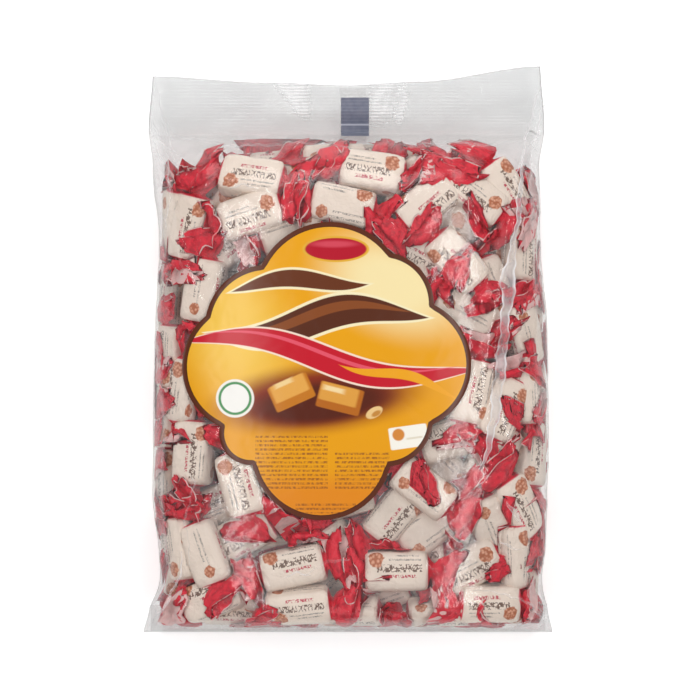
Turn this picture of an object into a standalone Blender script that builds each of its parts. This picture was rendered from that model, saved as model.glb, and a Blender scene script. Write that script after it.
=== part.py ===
"""A clear sealed bag of twist-wrapped peanut toffees, lying on its back with the printed front up.

Metres, +Z up. X runs across the bag, Y from its folded bottom to its sealed top edge. The origin is on
the surface it lies on, under the middle of its outline.
"""

import math
import random

import bmesh
import bpy
from mathutils import Matrix, Vector

MM = 0.001

# The real size of one photograph pixel, and the pixel that the origin is under
PIXEL_MM = 0.49
MIDDLE_PX = (348.0, 349.0)

# The bag, in millimetres: where each edge runs at each height of the front view
EDGES = [  # y, left x, right x
    (-139.0, -100.25, 100.25),
    (-128.0, -97.5, 98.0),
    (-115.0, -91.5, 94.5),
    (-100.0, -93.0, 97.0),
    (-72.0, -96.5, 98.5),
    (-40.0, -96.0, 99.0),
    (10.0, -95.0, 98.0),
    (50.0, -93.0, 95.0),
    (90.0, -96.0, 94.0),
    (108.0, -98.0, 96.5),
    (139.0, -96.0, 94.5),
]
CREST_MM = 63.0  # greatest height of the front film
EQUATOR_MM = 26.0  # height of the bag's side edge
HEADER_MM = 12.0  # height of the flat sealed strip at the top
FOLD_MM = 20.0  # height of the folded bottom seam
EQUATOR_TOP_Y, EQUATOR_BOTTOM_Y = 45.0, -100.0  # the side edge is level between these
CONTENTS_TOP_Y = 106.0
BOTTOM_Y = -139.0
TOP_EDGE = [  # x, y of the top edge
    (-96.0, 134.0), (-40.0, 131.0), (0.0, 129.5), (35.0, 131.5), (94.5, 139.0),
]  # fmt: skip
SEAL_THICKNESS_MM = 1.2
FRONT_ROUNDNESS = 2.5  # superellipse powers: 2 is an ellipse, more is boxier
BACK_ROUNDNESS = 6.0
END_ROUNDNESS = 2.4
TOP_SLOPE_MM = 46.0  # how far the front film takes to rise from each closed end
BOTTOM_SLOPE_MM = 15.0
BACK_TOP_HASTE, BACK_BOTTOM_HASTE, BACK_EASE = 1.7, 1.2, 0.6  # how soon the back film reaches the floor
EDGE_HASTE = 3.0  # how soon an inset takes hold at the closed ends
HEADER_STEP_MM = 14.0
CORE_INSET_MM = 5.5  # how far the core lies inside the film, where no sweet touches it
AROUND, ALONG = 24, 20

# One wrapped sweet
BODY_LENGTH_MM = 32.0
BODY_WIDTH_MM = 19.0
BODY_THICKNESS_MM = 14.0
SLAB_CORNERS = [(1.0, 0.0), (0.62, 1.0), (-0.62, 1.0), (-1.0, 0.0), (-0.62, -1.0), (0.62, -1.0)]
FAN_CORNERS = [(1.0, 1.0), (-1.0, 1.0), (-1.0, -1.0), (1.0, -1.0)]
BODY_STATIONS = [  # distance along, half width and half thickness, in millimetres
    (-BODY_LENGTH_MM / 2, 7.0, 5.0),
    (-13.5, BODY_WIDTH_MM / 2, BODY_THICKNESS_MM / 2),
    (13.5, BODY_WIDTH_MM / 2, BODY_THICKNESS_MM / 2),
    (BODY_LENGTH_MM / 2, 7.0, 5.0),
]
NECK_STATION = (14.4, 2.9, 2.6)
FAN_STATION = (29.0, 9.5, 1.5)
FAN_RISE_MM = 3.0  # how far a twisted end is raised towards the film
TWIST_LIMIT = math.radians(38)  # most that a twisted end leans out of the plane of its sweet
DEEPER_MM = 2.3  # how much lower each step of depth lies
FILM_CLEARANCE_MM = 1.0
END_CLEARANCE_MM = 1.0
FLOOR_CLEARANCE_MM = 0.1
PRESS_STEPS = 12

# Sweets seen through the front: photograph x, y, turn of the long axis in degrees, and depth step
FRONT_SWEETS = [
    (252, 180, -13, 0), (187, 228, 73, 0), (250, 216, 18, 0), (204, 290, 82, 0), (170, 358, 88, 0),
    (194, 452, 87, 0), (161, 480, 89, 1), (242, 483, -75, 0), (284, 503, -50, 1), (205, 553, -68, 0),
    (293, 566, 12, 0), (299, 606, 8, 0), (350, 613, 16, 1), (396, 569, 0, 0), (490, 604, -2, 0),
    (467, 563, 25, 1), (424, 488, -38, 0), (393, 512, 50, 1), (490, 527, -60, 1), (517, 508, -55, 0),
    (471, 392, 78, 0), (504, 410, 66, 0), (524, 334, -62, 0), (541, 400, 88, 1), (462, 312, -25, 1),
    (458, 262, -42, 0), (412, 250, -28, 1), (427, 204, 40, 0), (372, 174, -12, 0), (383, 148, -8, 1),
    (333, 168, -8, 2), (342, 207, -12, 0), (293, 232, 18, 1), (472, 198, -34, 1), (508, 190, -56, 0),
    (225, 621, 2, 1), (531, 452, 84, 1), (163, 541, 78, 1), (440, 612, 10, 1), (523, 250, 80, 0),
    (168, 300, 84, 1), (166, 415, 86, 1), (540, 555, 70, 1), (212, 600, 24, 1), (345, 552, -52, 1),
    (448, 438, 18, 1), (490, 452, 64, 1), (245, 535, 30, 2), (486, 290, -66, 1),
]  # fmt: skip

# Sweets under the back, which the photograph doesn't show, set out by rule
BACK_ROWS = 8
BACK_COLUMNS = 4
BACK_TOP_Y, BACK_BOTTOM_Y = 86.0, -116.0
BACK_HALF_WIDTH_MM = 66.0
BACK_JITTER_MM = 5.0
BACK_STAGGER = 0.25  # share of a column's step that alternate rows are moved by
BACK_TURN_LIMIT = 75
BACK_LIFT_MM = (0.2, 0.9)  # how far above the floor the back sweets lie, apart from the ones it rests on
FLOOR_SWEETS = [(1, 0), (1, 3), (4, 1), (6, 0), (6, 3)]  # row and column

# Sweets that lie against the sides and the bottom end
SIDE_COUNT = 5
SIDE_TOP_Y, SIDE_BOTTOM_Y = 74.0, -104.0
SIDE_TURNS = (math.radians(-28), math.radians(24))  # round the section from the side edge, back and front
SIDE_SLANT = 0.4
SIDE_PROBE = 0.1  # half the turn over which the film's direction is read
END_COUNT = 5
END_SLANT = 0.3
END_INSET_MM = 8.7
END_HALF_WIDTH_MM = 72.0
END_HEIGHTS_MM = (19.0, 38.0)  # by turns along the bottom end

# The printed label on the front, as the photograph pixels of its eight corners and how far each side bulges
LABEL_CORNERS = [
    (262, 266), (391, 254), (433, 305), (432, 424), (390, 465), (253, 464), (221, 426), (207, 316),
]  # fmt: skip
LABEL_BULGES_MM = [18.0, 6.0, 18.5, 5.0, 26.5, 6.0, 15.0, 6.0]
LABEL_STEPS = 5
LABEL_RINGS = 4
LABEL_GAP_MM = 0.5
LABEL_THICKNESS_MM = 0.6
TAUT_GAP_MM = 0.2  # how far under the front film's height the taut film below the label lies
TAUT_DEPTH_MM = 9.0  # how far down it is joined to the bag
TAUT_SHARE = 0.97  # its size beside the label

# The dark register mark printed near the top seal
MARK_PX = (341, 97, 369, 131)
MARK_THICKNESS_MM = 0.4
MARK_STEPS = 4


def clear_scene():
    for old in list(bpy.data.objects):
        bpy.data.objects.remove(old)


def material(name, colour, roughness, metallic=0.0):
    made = bpy.data.materials.new(name)
    made.use_nodes = True
    shader = made.node_tree.nodes["Principled BSDF"]
    shader.inputs["Base Color"].default_value = (*colour, 1.0)
    shader.inputs["Roughness"].default_value = roughness
    shader.inputs["Metallic"].default_value = metallic
    return made


def from_photo(px, py):
    return (px - MIDDLE_PX[0]) * PIXEL_MM, (MIDDLE_PX[1] - py) * PIXEL_MM


def eased(points, at):
    """Reads a table of (position, value...) at a position, with smooth steps between its rows."""
    if at <= points[0][0]:
        return points[0][1:]
    for low, high in zip(points, points[1:]):
        if at <= high[0]:
            t = (at - low[0]) / (high[0] - low[0])
            t = t * t * (3 - 2 * t)
            return tuple(a + (b - a) * t for a, b in zip(low[1:], high[1:]))
    return points[-1][1:]


def fullness(y):
    """How full the bag is at y, from 0 at its closed ends to 1: (front, back)."""
    to_top = max(0.0, min(1.0, (CONTENTS_TOP_Y - y) / TOP_SLOPE_MM))
    to_bottom = max(0.0, min(1.0, (y - BOTTOM_Y) / BOTTOM_SLOPE_MM))
    front = min(
        (1 - (1 - to_top) ** END_ROUNDNESS) ** (1 / END_ROUNDNESS),
        (1 - (1 - to_bottom) ** END_ROUNDNESS) ** (1 / END_ROUNDNESS),
    )
    back = min(1.0, to_top * BACK_TOP_HASTE) * min(1.0, to_bottom * BACK_BOTTOM_HASTE)
    return front, back**BACK_EASE


def equator(y):
    """Height of the side edge at y."""
    if y > 0:
        share = eased([(EQUATOR_TOP_Y, 1.0), (CONTENTS_TOP_Y, 0.0)], y)[0]
        return HEADER_MM + (EQUATOR_MM - HEADER_MM) * share
    share = eased([(BOTTOM_Y, 0.0), (EQUATOR_BOTTOM_Y, 1.0)], y)[0]
    return FOLD_MM + (EQUATOR_MM - FOLD_MM) * share


def section(y, inset=0.0):
    """The bag's cross-section at y: centre x, half width, equator height, rise above it and drop below it."""
    left, right = eased(EDGES, y)
    front, back = fullness(y)
    middle = equator(y)
    half = (right - left) / 2 - inset * min(1.0, front * EDGE_HASTE)
    rise = max((CREST_MM - middle) * front - inset, SEAL_THICKNESS_MM / 2)
    drop = max(middle * back - inset, SEAL_THICKNESS_MM / 2)
    return (left + right) / 2, half, middle, rise, drop


def front_height(x, y, inset=0.0):
    """Height of the front film above the floor."""
    centre, half, middle, rise, _ = section(y, inset)
    across = min(1.0, abs(x - centre) / half)
    return middle + rise * (1 - across**FRONT_ROUNDNESS) ** (1 / FRONT_ROUNDNESS)


def film_point(y, turn, inset=0.0):
    """The point of the section at y that is turned so far from its right edge, over the front."""
    centre, half, middle, rise, drop = section(y, inset)
    over = math.sin(turn) >= 0
    power = FRONT_ROUNDNESS if over else BACK_ROUNDNESS
    across = math.copysign(abs(math.cos(turn)) ** (2 / power), math.cos(turn))
    up = math.copysign(abs(math.sin(turn)) ** (2 / power), math.sin(turn))
    return Vector((centre + half * across, y, middle + (rise if over else drop) * up))


def ring(y, inset):
    """Points round the bag at y, from its right edge over the front to its left edge and back underneath."""
    return [film_point(y, 2 * math.pi * step / AROUND, inset) for step in range(AROUND)]


def pressed_in(point):
    """The move that brings a point of a sweet under the film, or None where it is there."""
    y = max(BOTTOM_Y + END_CLEARANCE_MM, min(CONTENTS_TOP_Y, point.y))
    centre, half, middle, rise, drop = section(y, FILM_CLEARANCE_MM)
    over = point.z >= middle
    power = FRONT_ROUNDNESS if over else BACK_ROUNDNESS
    across, up = (point.x - centre) / half, (point.z - middle) / (rise if over else drop)
    beyond = (abs(across) ** power + abs(up) ** power) ** (1 / power)
    if beyond <= 1 and y == point.y:
        return None
    beyond = max(beyond, 1.0)
    inside = Vector((centre + half * across / beyond, y, middle + (point.z - middle) / beyond))
    return inside - point


def move_under_film(points):
    """Moves a group of points as one until all of them lie under the film, and above the floor."""
    for _ in range(PRESS_STEPS):
        moves = [move for move in map(pressed_in, points) if move is not None]
        if not moves:
            break
        farthest = max(moves, key=lambda move: move.length)
        points = [point + farthest for point in points]
    sunk = max(0.0, FLOOR_CLEARANCE_MM - min(point.z for point in points))
    return [point + Vector((0.0, 0.0, sunk)) for point in points]


def loft(name, rings):
    """A closed mesh through rings of points, with both ends filled."""
    mesh = bpy.data.meshes.new(name)
    shape = bmesh.new()
    made = [[shape.verts.new(Vector(point) * MM) for point in points] for points in rings]
    count = len(made[0])
    for low, high in zip(made, made[1:]):
        for step in range(count):
            after = (step + 1) % count
            shape.faces.new((low[step], low[after], high[after], high[step]))
    shape.faces.new(list(reversed(made[0])))
    shape.faces.new(made[-1])
    bmesh.ops.recalc_face_normals(shape, faces=shape.faces[:])
    bmesh.ops.triangulate(shape, faces=shape.faces[:])
    shape.to_mesh(mesh)
    shape.free()
    placed = bpy.data.objects.new(name, mesh)
    bpy.context.scene.collection.objects.link(placed)
    return placed


def bag_core():
    """The bag from its folded bottom to its top edge, a little inside the film where sweets will show."""
    rings = []
    for step in range(ALONG + 1):
        # closer rings towards the two ends, where the bag closes
        share = (1 - math.cos(math.pi * step / ALONG)) / 2
        rings.append(ring(BOTTOM_Y + (CONTENTS_TOP_Y - BOTTOM_Y) * share, CORE_INSET_MM))
    header = ring(CONTENTS_TOP_Y + HEADER_STEP_MM, 0.0)
    edge = []
    for x, y, z in ring(TOP_EDGE[-1][1], 0.0):
        edge.append((x, eased(TOP_EDGE, x)[0], z))
    return loft("bag", rings + [header, edge])


def frame_on(origin, along, outward):
    """A placement matrix with X along the sweet and Z out through the film."""
    x_axis = along.normalized()
    z_axis = (outward - x_axis * outward.dot(x_axis)).normalized()
    y_axis = z_axis.cross(x_axis)
    turned = Matrix((x_axis, y_axis, z_axis)).transposed()
    return Matrix.Translation(origin) @ turned.to_4x4()


def hull(name, points):
    """The closed convex mesh round some points."""
    mesh = bpy.data.meshes.new(name)
    shape = bmesh.new()
    for point in points:
        shape.verts.new(point * MM)
    made = bmesh.ops.convex_hull(shape, input=shape.verts[:])
    unused = set(made["geom_interior"] + made["geom_unused"])
    spare = [item for item in unused if isinstance(item, bmesh.types.BMVert)]
    bmesh.ops.delete(shape, geom=spare, context="VERTS")
    bmesh.ops.recalc_face_normals(shape, faces=shape.faces[:])
    shape.to_mesh(mesh)
    shape.free()
    placed = bpy.data.objects.new(name, mesh)
    bpy.context.scene.collection.objects.link(placed)
    return placed


def station(corners, along, wide, thick):
    return [Vector((along, across * wide, up * thick)) for across, up in corners]


def sweet(name, place, chance, on_floor=False):
    """One wrapped sweet as three convex solids: a slab, and a fanned, twisted end at each end of it.

    The slab moves under the film as one piece unless it lies on the floor, and each twisted end bends in
    where the film presses on it.
    """
    slab = [place @ corner for row in BODY_STATIONS for corner in station(SLAB_CORNERS, *row)]
    shift = Vector((0.0, 0.0, 0.0))
    if not on_floor:
        shift = move_under_film(slab)[0] - slab[0]
    made = [hull(name, [point + shift for point in slab])]
    for side in (-1, 1):
        lean = Matrix.Rotation(chance.uniform(-TWIST_LIMIT, TWIST_LIMIT), 4, "X")
        neck = station(FAN_CORNERS, side * NECK_STATION[0], *NECK_STATION[1:])
        neck = [place @ corner + shift for corner in neck]
        rise = Vector((0.0, 0.0, FAN_RISE_MM))
        edge = station(FAN_CORNERS, side * FAN_STATION[0], *FAN_STATION[1:])
        fan = [place @ (lean @ corner + rise) + shift for corner in edge]
        made.append(hull(name, neck + move_under_film(fan)))
    return made


def front_place(px, py, turn, depth):
    """Where a sweet that shows through the front lies, flat against the film or some steps below it."""
    x, y = from_photo(px, py)
    reach = BODY_LENGTH_MM / 4
    slope_x = (front_height(x + reach, y) - front_height(x - reach, y)) / (2 * reach)
    slope_y = (front_height(x, y + reach) - front_height(x, y - reach)) / (2 * reach)
    outward = Vector((-slope_x, -slope_y, 1.0)).normalized()
    angle = math.radians(turn)
    along = Vector((math.cos(angle), math.sin(angle), 0.0))
    along -= outward * along.dot(outward)
    below = BODY_THICKNESS_MM / 2 + FILM_CLEARANCE_MM + depth * DEEPER_MM
    return frame_on(Vector((x, y, front_height(x, y))) - outward * below, along, outward)


def front_sweets():
    chance = random.Random(11)
    made = []
    for index, row in enumerate(FRONT_SWEETS):
        made += sweet(f"front_sweet_{index}", front_place(*row), chance)
    return made


def back_sweets():
    """Sweets pressed flat on the floor under the bag, in staggered rows turned every way."""
    chance = random.Random(23)
    made = []
    for row in range(BACK_ROWS):
        y = BACK_BOTTOM_Y + (BACK_TOP_Y - BACK_BOTTOM_Y) * row / (BACK_ROWS - 1)
        for column in range(BACK_COLUMNS):
            stagger = BACK_STAGGER if row % 2 else -BACK_STAGGER
            x = BACK_HALF_WIDTH_MM * (2 * (column + stagger) / (BACK_COLUMNS - 1) - 1)
            x += chance.uniform(-BACK_JITTER_MM, BACK_JITTER_MM)
            angle = math.radians(chance.uniform(-BACK_TURN_LIMIT, BACK_TURN_LIMIT))
            lifted = 0.0 if (row, column) in FLOOR_SWEETS else chance.uniform(*BACK_LIFT_MM)
            height = BODY_THICKNESS_MM / 2 + lifted
            origin = Vector((x, y + chance.uniform(-BACK_JITTER_MM, BACK_JITTER_MM), height))
            along = Vector((math.cos(angle), math.sin(angle), 0.0))
            place = frame_on(origin, along, Vector((0.0, 0.0, -1.0)))
            made += sweet(f"back_sweet_{row}_{column}", place, chance, on_floor=True)
    return made


def side_sweets():
    """Sweets against the two side edges, lengthwise, and a row along the bottom end."""
    chance = random.Random(31)
    made = []
    for side in range(2):
        for index in range(SIDE_COUNT):
            y = SIDE_BOTTOM_Y + (SIDE_TOP_Y - SIDE_BOTTOM_Y) * index / (SIDE_COUNT - 1)
            turn = SIDE_TURNS[index % 2]
            if side:
                turn = math.pi - turn
            across = film_point(y, turn + SIDE_PROBE) - film_point(y, turn - SIDE_PROBE)
            outward = across.cross(Vector((0.0, 1.0, 0.0))) * -1.0
            outward.normalize()
            slant = across.normalized() * chance.uniform(-SIDE_SLANT, SIDE_SLANT)
            along = Vector((0.0, 1.0, 0.0)) + slant
            origin = film_point(y, turn) - outward * (BODY_THICKNESS_MM / 2 + FILM_CLEARANCE_MM)
            made += sweet(f"side_sweet_{side}_{index}", frame_on(origin, along, outward), chance)
    for index in range(END_COUNT):
        x = END_HALF_WIDTH_MM * (2 * index / (END_COUNT - 1) - 1)
        along = Vector((1.0, 0.0, chance.uniform(-END_SLANT, END_SLANT)))
        origin = Vector((x, BOTTOM_Y + END_INSET_MM, END_HEIGHTS_MM[index % 2]))
        place = frame_on(origin, along, Vector((0.0, -1.0, 0.0)))
        made += sweet(f"end_sweet_{index}", place, chance)
    return made


def drop_sealed_hollows(mesh):
    """Keeps the largest shell alone, so that gaps which fusing has closed are filled."""
    shape = bmesh.new()
    shape.from_mesh(mesh)
    unseen = set(shape.verts)
    shells = []
    while unseen:
        reached = [unseen.pop()]
        shell = set(reached)
        while reached:
            for edge in reached.pop().link_edges:
                for other in edge.verts:
                    if other in unseen:
                        unseen.remove(other)
                        shell.add(other)
                        reached.append(other)
        shells.append(shell)
    largest = max(shells, key=len)
    loose = [vert for shell in shells if shell is not largest for vert in shell]
    bmesh.ops.delete(shape, geom=loose, context="VERTS")
    shape.to_mesh(mesh)
    shape.free()


def apply_boolean(target, operation, collection):
    modifier = target.modifiers.new("fuse", "BOOLEAN")
    modifier.operation = operation
    modifier.operand_type = "COLLECTION"
    modifier.collection = collection
    modifier.solver = "MANIFOLD"
    bpy.context.view_layer.objects.active = target
    bpy.ops.object.modifier_apply(modifier=modifier.name)
    for used in list(collection.objects):
        bpy.data.objects.remove(used)


def gathered(name, objects):
    collection = bpy.data.collections.new(name)
    bpy.context.scene.collection.children.link(collection)
    for member in objects:
        bpy.context.scene.collection.objects.unlink(member)
        collection.objects.link(member)
    return collection


def label_outline():
    """The label's edge: one arc between each two corners."""
    corners = [Vector(from_photo(*corner)) for corner in LABEL_CORNERS]
    points = []
    for index, (start, bulge) in enumerate(zip(corners, LABEL_BULGES_MM)):
        end = corners[(index + 1) % len(corners)]
        chord = end - start
        outward = Vector((-chord.y, chord.x)).normalized()
        radius = (chord.length**2 / 4 + bulge**2) / (2 * bulge)
        middle = (start + end) / 2 + outward * (bulge - radius)
        first = start - middle
        sweep = first.angle_signed(end - middle)
        for step in range(LABEL_STEPS):
            turn = Matrix.Rotation(-sweep * step / LABEL_STEPS, 2)
            points.append(middle + turn @ first)
    return points


def label_solid(name, gap, thickness, size=1.0):
    """A sheet in the label's outline that follows the front film."""
    outline = label_outline()
    middle = sum(outline, Vector((0.0, 0.0))) / len(outline)
    outline = [middle + (point - middle) * size for point in outline]
    mesh = bpy.data.meshes.new(name)
    shape = bmesh.new()

    def level(lift):
        rings = []
        for step in range(1, LABEL_RINGS + 1):
            share = step / LABEL_RINGS
            points = []
            for edge in outline:
                x, y = middle + (edge - middle) * share
                points.append(shape.verts.new(Vector((x, y, front_height(x, y) + lift)) * MM))
            rings.append(points)
        hub = shape.verts.new(Vector((*middle, front_height(*middle) + lift)) * MM)
        return hub, rings

    under, over = level(gap), level(gap + thickness)
    count = len(outline)
    for hub, rings in (under, over):
        for step in range(count):
            after = (step + 1) % count
            shape.faces.new((hub, rings[0][step], rings[0][after]))
            for inner, outer in zip(rings, rings[1:]):
                shape.faces.new((inner[step], outer[step], outer[after], inner[after]))
    for step in range(count):
        after = (step + 1) % count
        low, high = under[1][-1], over[1][-1]
        shape.faces.new((low[step], low[after], high[after], high[step]))
    bmesh.ops.recalc_face_normals(shape, faces=shape.faces[:])
    bmesh.ops.triangulate(shape, faces=shape.faces[:])
    shape.to_mesh(mesh)
    shape.free()
    placed = bpy.data.objects.new(name, mesh)
    bpy.context.scene.collection.objects.link(placed)
    return placed


def register_mark():
    """The dark printed patch on the front of the top seal."""
    left, top = from_photo(MARK_PX[0], MARK_PX[1])
    right, bottom = from_photo(MARK_PX[2], MARK_PX[3])
    rings = []
    for step in range(MARK_STEPS + 1):
        y = bottom + (top - bottom) * step / MARK_STEPS
        low = max(front_height(x, y) for x in (left, right)) + LABEL_GAP_MM
        high = low + MARK_THICKNESS_MM
        rings.append([(left, y, low), (right, y, low), (right, y, high), (left, y, high)])
    return loft("register_mark", rings)


def build():
    clear_scene()
    film = material("clear_film", (0.80, 0.30, 0.28), 0.25)
    print_yellow = material("label_print", (0.86, 0.48, 0.03), 0.35)
    print_blue = material("mark_print", (0.05, 0.07, 0.16), 0.4)

    bag = bag_core()
    taut_film = label_solid("taut_film", -TAUT_GAP_MM - TAUT_DEPTH_MM, TAUT_DEPTH_MM, TAUT_SHARE)
    contents = front_sweets() + back_sweets() + side_sweets()
    apply_boolean(bag, "UNION", gathered("contents", [taut_film] + contents))
    drop_sealed_hollows(bag.data)
    bag.data.materials.clear()
    bag.data.materials.append(film)

    label = label_solid("label", LABEL_GAP_MM, LABEL_THICKNESS_MM)
    label.data.materials.append(print_yellow)
    mark = register_mark()
    mark.data.materials.append(print_blue)


build()
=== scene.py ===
import math
import bmesh
import bpy
import numpy as np
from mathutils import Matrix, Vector
from mathutils.bvhtree import BVHTree


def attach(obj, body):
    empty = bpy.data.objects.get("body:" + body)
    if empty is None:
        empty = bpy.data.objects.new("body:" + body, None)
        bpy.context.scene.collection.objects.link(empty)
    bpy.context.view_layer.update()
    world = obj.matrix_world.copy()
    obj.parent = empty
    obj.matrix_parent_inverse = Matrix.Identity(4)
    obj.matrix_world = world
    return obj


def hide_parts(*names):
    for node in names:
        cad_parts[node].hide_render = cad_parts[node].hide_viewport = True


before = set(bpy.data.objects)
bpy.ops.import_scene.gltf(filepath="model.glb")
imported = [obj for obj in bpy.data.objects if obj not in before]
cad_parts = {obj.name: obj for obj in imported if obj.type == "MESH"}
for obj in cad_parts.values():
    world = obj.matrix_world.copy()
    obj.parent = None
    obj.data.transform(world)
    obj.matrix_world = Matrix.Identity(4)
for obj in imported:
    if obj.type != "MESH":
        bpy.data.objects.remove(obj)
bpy.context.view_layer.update()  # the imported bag, its label and its register mark

mm = 0.001
pixel = 0.49  # millimetres in one pixel of the photograph
middlePx = (348.0, 349.0)  # the pixel that the origin is under


# small helpers

def note(text):
    print("bag:", text)


def fromPhoto(px, py):
    return (px - middlePx[0]) * pixel, (middlePx[1] - py) * pixel


def linear(hexColour):
    parts = [int(hexColour[start:start + 2], 16) / 255 for start in (1, 3, 5)]
    bright = [part / 12.92 if part <= 0.04045 else ((part + 0.055) / 1.055) ** 2.4 for part in parts]
    return (*bright, 1.0)


def smooth(low, high, value):
    share = np.clip((value - low) / (high - low), 0, 1)
    return share * share * (3 - 2 * share)


def unit(vector):
    return vector / np.linalg.norm(vector)


def heading(turn, rise=0.0):
    return np.array([math.cos(math.radians(turn)), math.sin(math.radians(turn)), rise])


def rotated(first, second, turn):
    return first * np.cos(turn) - second * np.sin(turn), first * np.sin(turn) + second * np.cos(turn)


def deselectAll():
    if bpy.context.object and bpy.context.object.mode != "OBJECT":
        bpy.ops.object.mode_set(mode="OBJECT")
    bpy.ops.object.select_all(action="DESELECT")


def wrapped(turns):
    # a face that crosses the print's seam reads on past 1
    shift = np.zeros((len(turns), 2))
    if turns.max() - turns.min() > 0.5:
        shift[:, 1] = turns < 0.5
    return shift


def meshPiece(name, points, faces, uv=None, values=None):
    mesh = bpy.data.meshes.new(name)
    mesh.from_pydata((np.asarray(points) * mm).tolist(), [], [tuple(int(i) for i in face) for face in faces])
    if uv is not None:
        layer = mesh.uv_layers.new(name="print")
        uv = np.asarray(uv)
        corners = np.concatenate([uv[list(face)] + wrapped(uv[list(face), 1]) for face in faces])
        layer.data.foreach_set("uv", corners.astype(np.float32).ravel())
    for label, numbers in (values or {}).items():
        made = mesh.attributes.new(label, "FLOAT", "POINT")
        made.data.foreach_set("value", np.asarray(numbers, np.float32))
    mesh.polygons.foreach_set("use_smooth", [True] * len(mesh.polygons))
    mesh.update()
    piece = bpy.data.objects.new(name, mesh)
    bpy.context.scene.collection.objects.link(piece)
    return piece


def quads(rows, columns, start=0, closed=False, turned=False):
    # the faces between neighbouring points of a grid
    faces = []
    for row in range(rows - 1):
        for column in range(columns if closed else columns - 1):
            after = (column + 1) % columns
            low, high = start + row * columns, start + (row + 1) * columns
            corners = (low + column, low + after, high + after, high + column)
            faces.append((corners[0], *corners[:0:-1]) if turned else corners)
    return faces


def endCap(ring):
    # faces across a flattened ring, from one of its halves to the other
    count = len(ring)
    for step in range(count // 2):
        corners = ring[step], ring[step + 1], ring[count - step - 1], ring[(count - step) % count]
        yield tuple(dict.fromkeys(corners))


def faceOutward(piece):
    deselectAll()
    bpy.context.view_layer.objects.active = piece
    piece.select_set(True)
    bpy.ops.object.mode_set(mode="EDIT")
    bpy.ops.mesh.select_all(action="SELECT")
    bpy.ops.mesh.normals_make_consistent(inside=False)
    bpy.ops.object.mode_set(mode="OBJECT")


def newMaterial(name):
    # gives the material, and the one function that adds nodes to it
    made = bpy.data.materials.new(name)
    made.use_nodes = True
    tree = made.node_tree
    tree.nodes.clear()

    def add(kind, links=None, values=None, **settings):
        # a link comes from a socket, or from the first output of a node
        node = tree.nodes.new("ShaderNode" + kind)
        for key, value in settings.items():
            setattr(node, key, value)
        for key, value in (values or {}).items():
            node.inputs[key].default_value = value
        for key, source in (links or {}).items():
            socket = source if isinstance(source, bpy.types.NodeSocket) else source.outputs[0]
            tree.links.new(socket, node.inputs[key])
        return node

    return made, add


# the shape of the full bag

bagShape = {
    "edges": [  # y, left x, right x
        (-139.0, -100.25, 100.25), (-128.0, -97.5, 98.0), (-115.0, -91.5, 94.5), (-100.0, -93.0, 97.0),
        (-72.0, -96.5, 98.5), (-40.0, -96.0, 99.0), (10.0, -95.0, 98.0), (50.0, -93.0, 95.0),
        (90.0, -96.0, 94.0), (108.0, -98.0, 96.5), (139.0, -96.0, 94.5),
    ],
    "topEdge": [(-96.0, 134.0), (-40.0, 131.0), (0.0, 129.5), (35.0, 131.5), (94.5, 139.0)],
    "crest": 63.0,  # the highest point
    "sideHeight": 26.0,  # how high the side edges run, the header and the bottom fold
    "headerHeight": 12.0,
    "foldHeight": 20.0,
    "level": (-100.0, 45.0),  # y between which the side edges run level
    "contentsTop": 106.0,
    "bottom": -139.0,
    "slopes": (15.0, 46.0),  # over what length the front falls to the bottom and to the header
    "frontPower": 2.5,  # how boxy the section is over and under its edges, and lengthwise at the ends
    "backPower": 6.0,
    "endPower": 2.4,
    "seal": 0.6,  # half the least thickness
}


def readTable(rows, at, column):
    rows = np.array(rows)
    at = np.asarray(at, float)
    index = np.clip(np.searchsorted(rows[:, 0], at, side="right") - 1, 0, len(rows) - 2)
    low, high = rows[index], rows[index + 1]
    return low[..., column] + (high[..., column] - low[..., column]) * smooth(low[..., 0], high[..., 0], at)


def section(y, inset=0.0):
    shape = bagShape
    y = np.asarray(y, float)
    left, right = readTable(shape["edges"], y, 1), readTable(shape["edges"], y, 2)
    toTop = np.clip((shape["contentsTop"] - y) / shape["slopes"][1], 0, 1)
    toBottom = np.clip((y - shape["bottom"]) / shape["slopes"][0], 0, 1)
    power = shape["endPower"]
    front = np.minimum((1 - (1 - toTop) ** power) ** (1 / power), (1 - (1 - toBottom) ** power) ** (1 / power))
    back = (np.minimum(1, toTop * 1.7) * np.minimum(1, toBottom * 1.2)) ** 0.6
    low, high = shape["level"]
    side, header, fold = shape["sideHeight"], shape["headerHeight"], shape["foldHeight"]
    upper = header + (side - header) * (1 - smooth(high, shape["contentsTop"], y))
    lower = fold + (side - fold) * smooth(shape["bottom"], low, y)
    middle = np.where(y > 0, upper, lower)
    half = (right - left) / 2 - inset * np.minimum(1, front * 3)
    rise = np.maximum((shape["crest"] - middle) * front - inset, shape["seal"])
    drop = np.maximum(middle * back - inset, shape["seal"])
    return (left + right) / 2, half, middle, rise, drop


def heldInside(points, inset, soft=0.0):
    # brings points that lie outside the film back to it, or presses them flat
    # under it over a soft share of the way
    points = np.array(points, float)
    points[..., 1] = np.clip(points[..., 1], bagShape["bottom"] + inset + 0.5,
                             bagShape["contentsTop"] - inset * 0.5)
    centre, half, middle, rise, drop = section(points[..., 1], inset)
    over = points[..., 2] >= middle
    power = np.where(over, bagShape["frontPower"], bagShape["backPower"])
    across = (points[..., 0] - centre) / half
    up = (points[..., 2] - middle) / np.where(over, rise, drop)
    reach = (np.abs(across) ** power + np.abs(up) ** power) ** (1 / power)
    beyond = np.maximum(1, reach)
    if soft:
        past = np.maximum(0, reach - 1 + soft)
        beyond = np.where(past > 0, reach / (1 - soft + soft * (1 - np.exp(-past / soft))), 1)
    points[..., 0] = centre + half * across / beyond
    points[..., 2] = middle + (points[..., 2] - middle) / beyond
    return points


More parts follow.
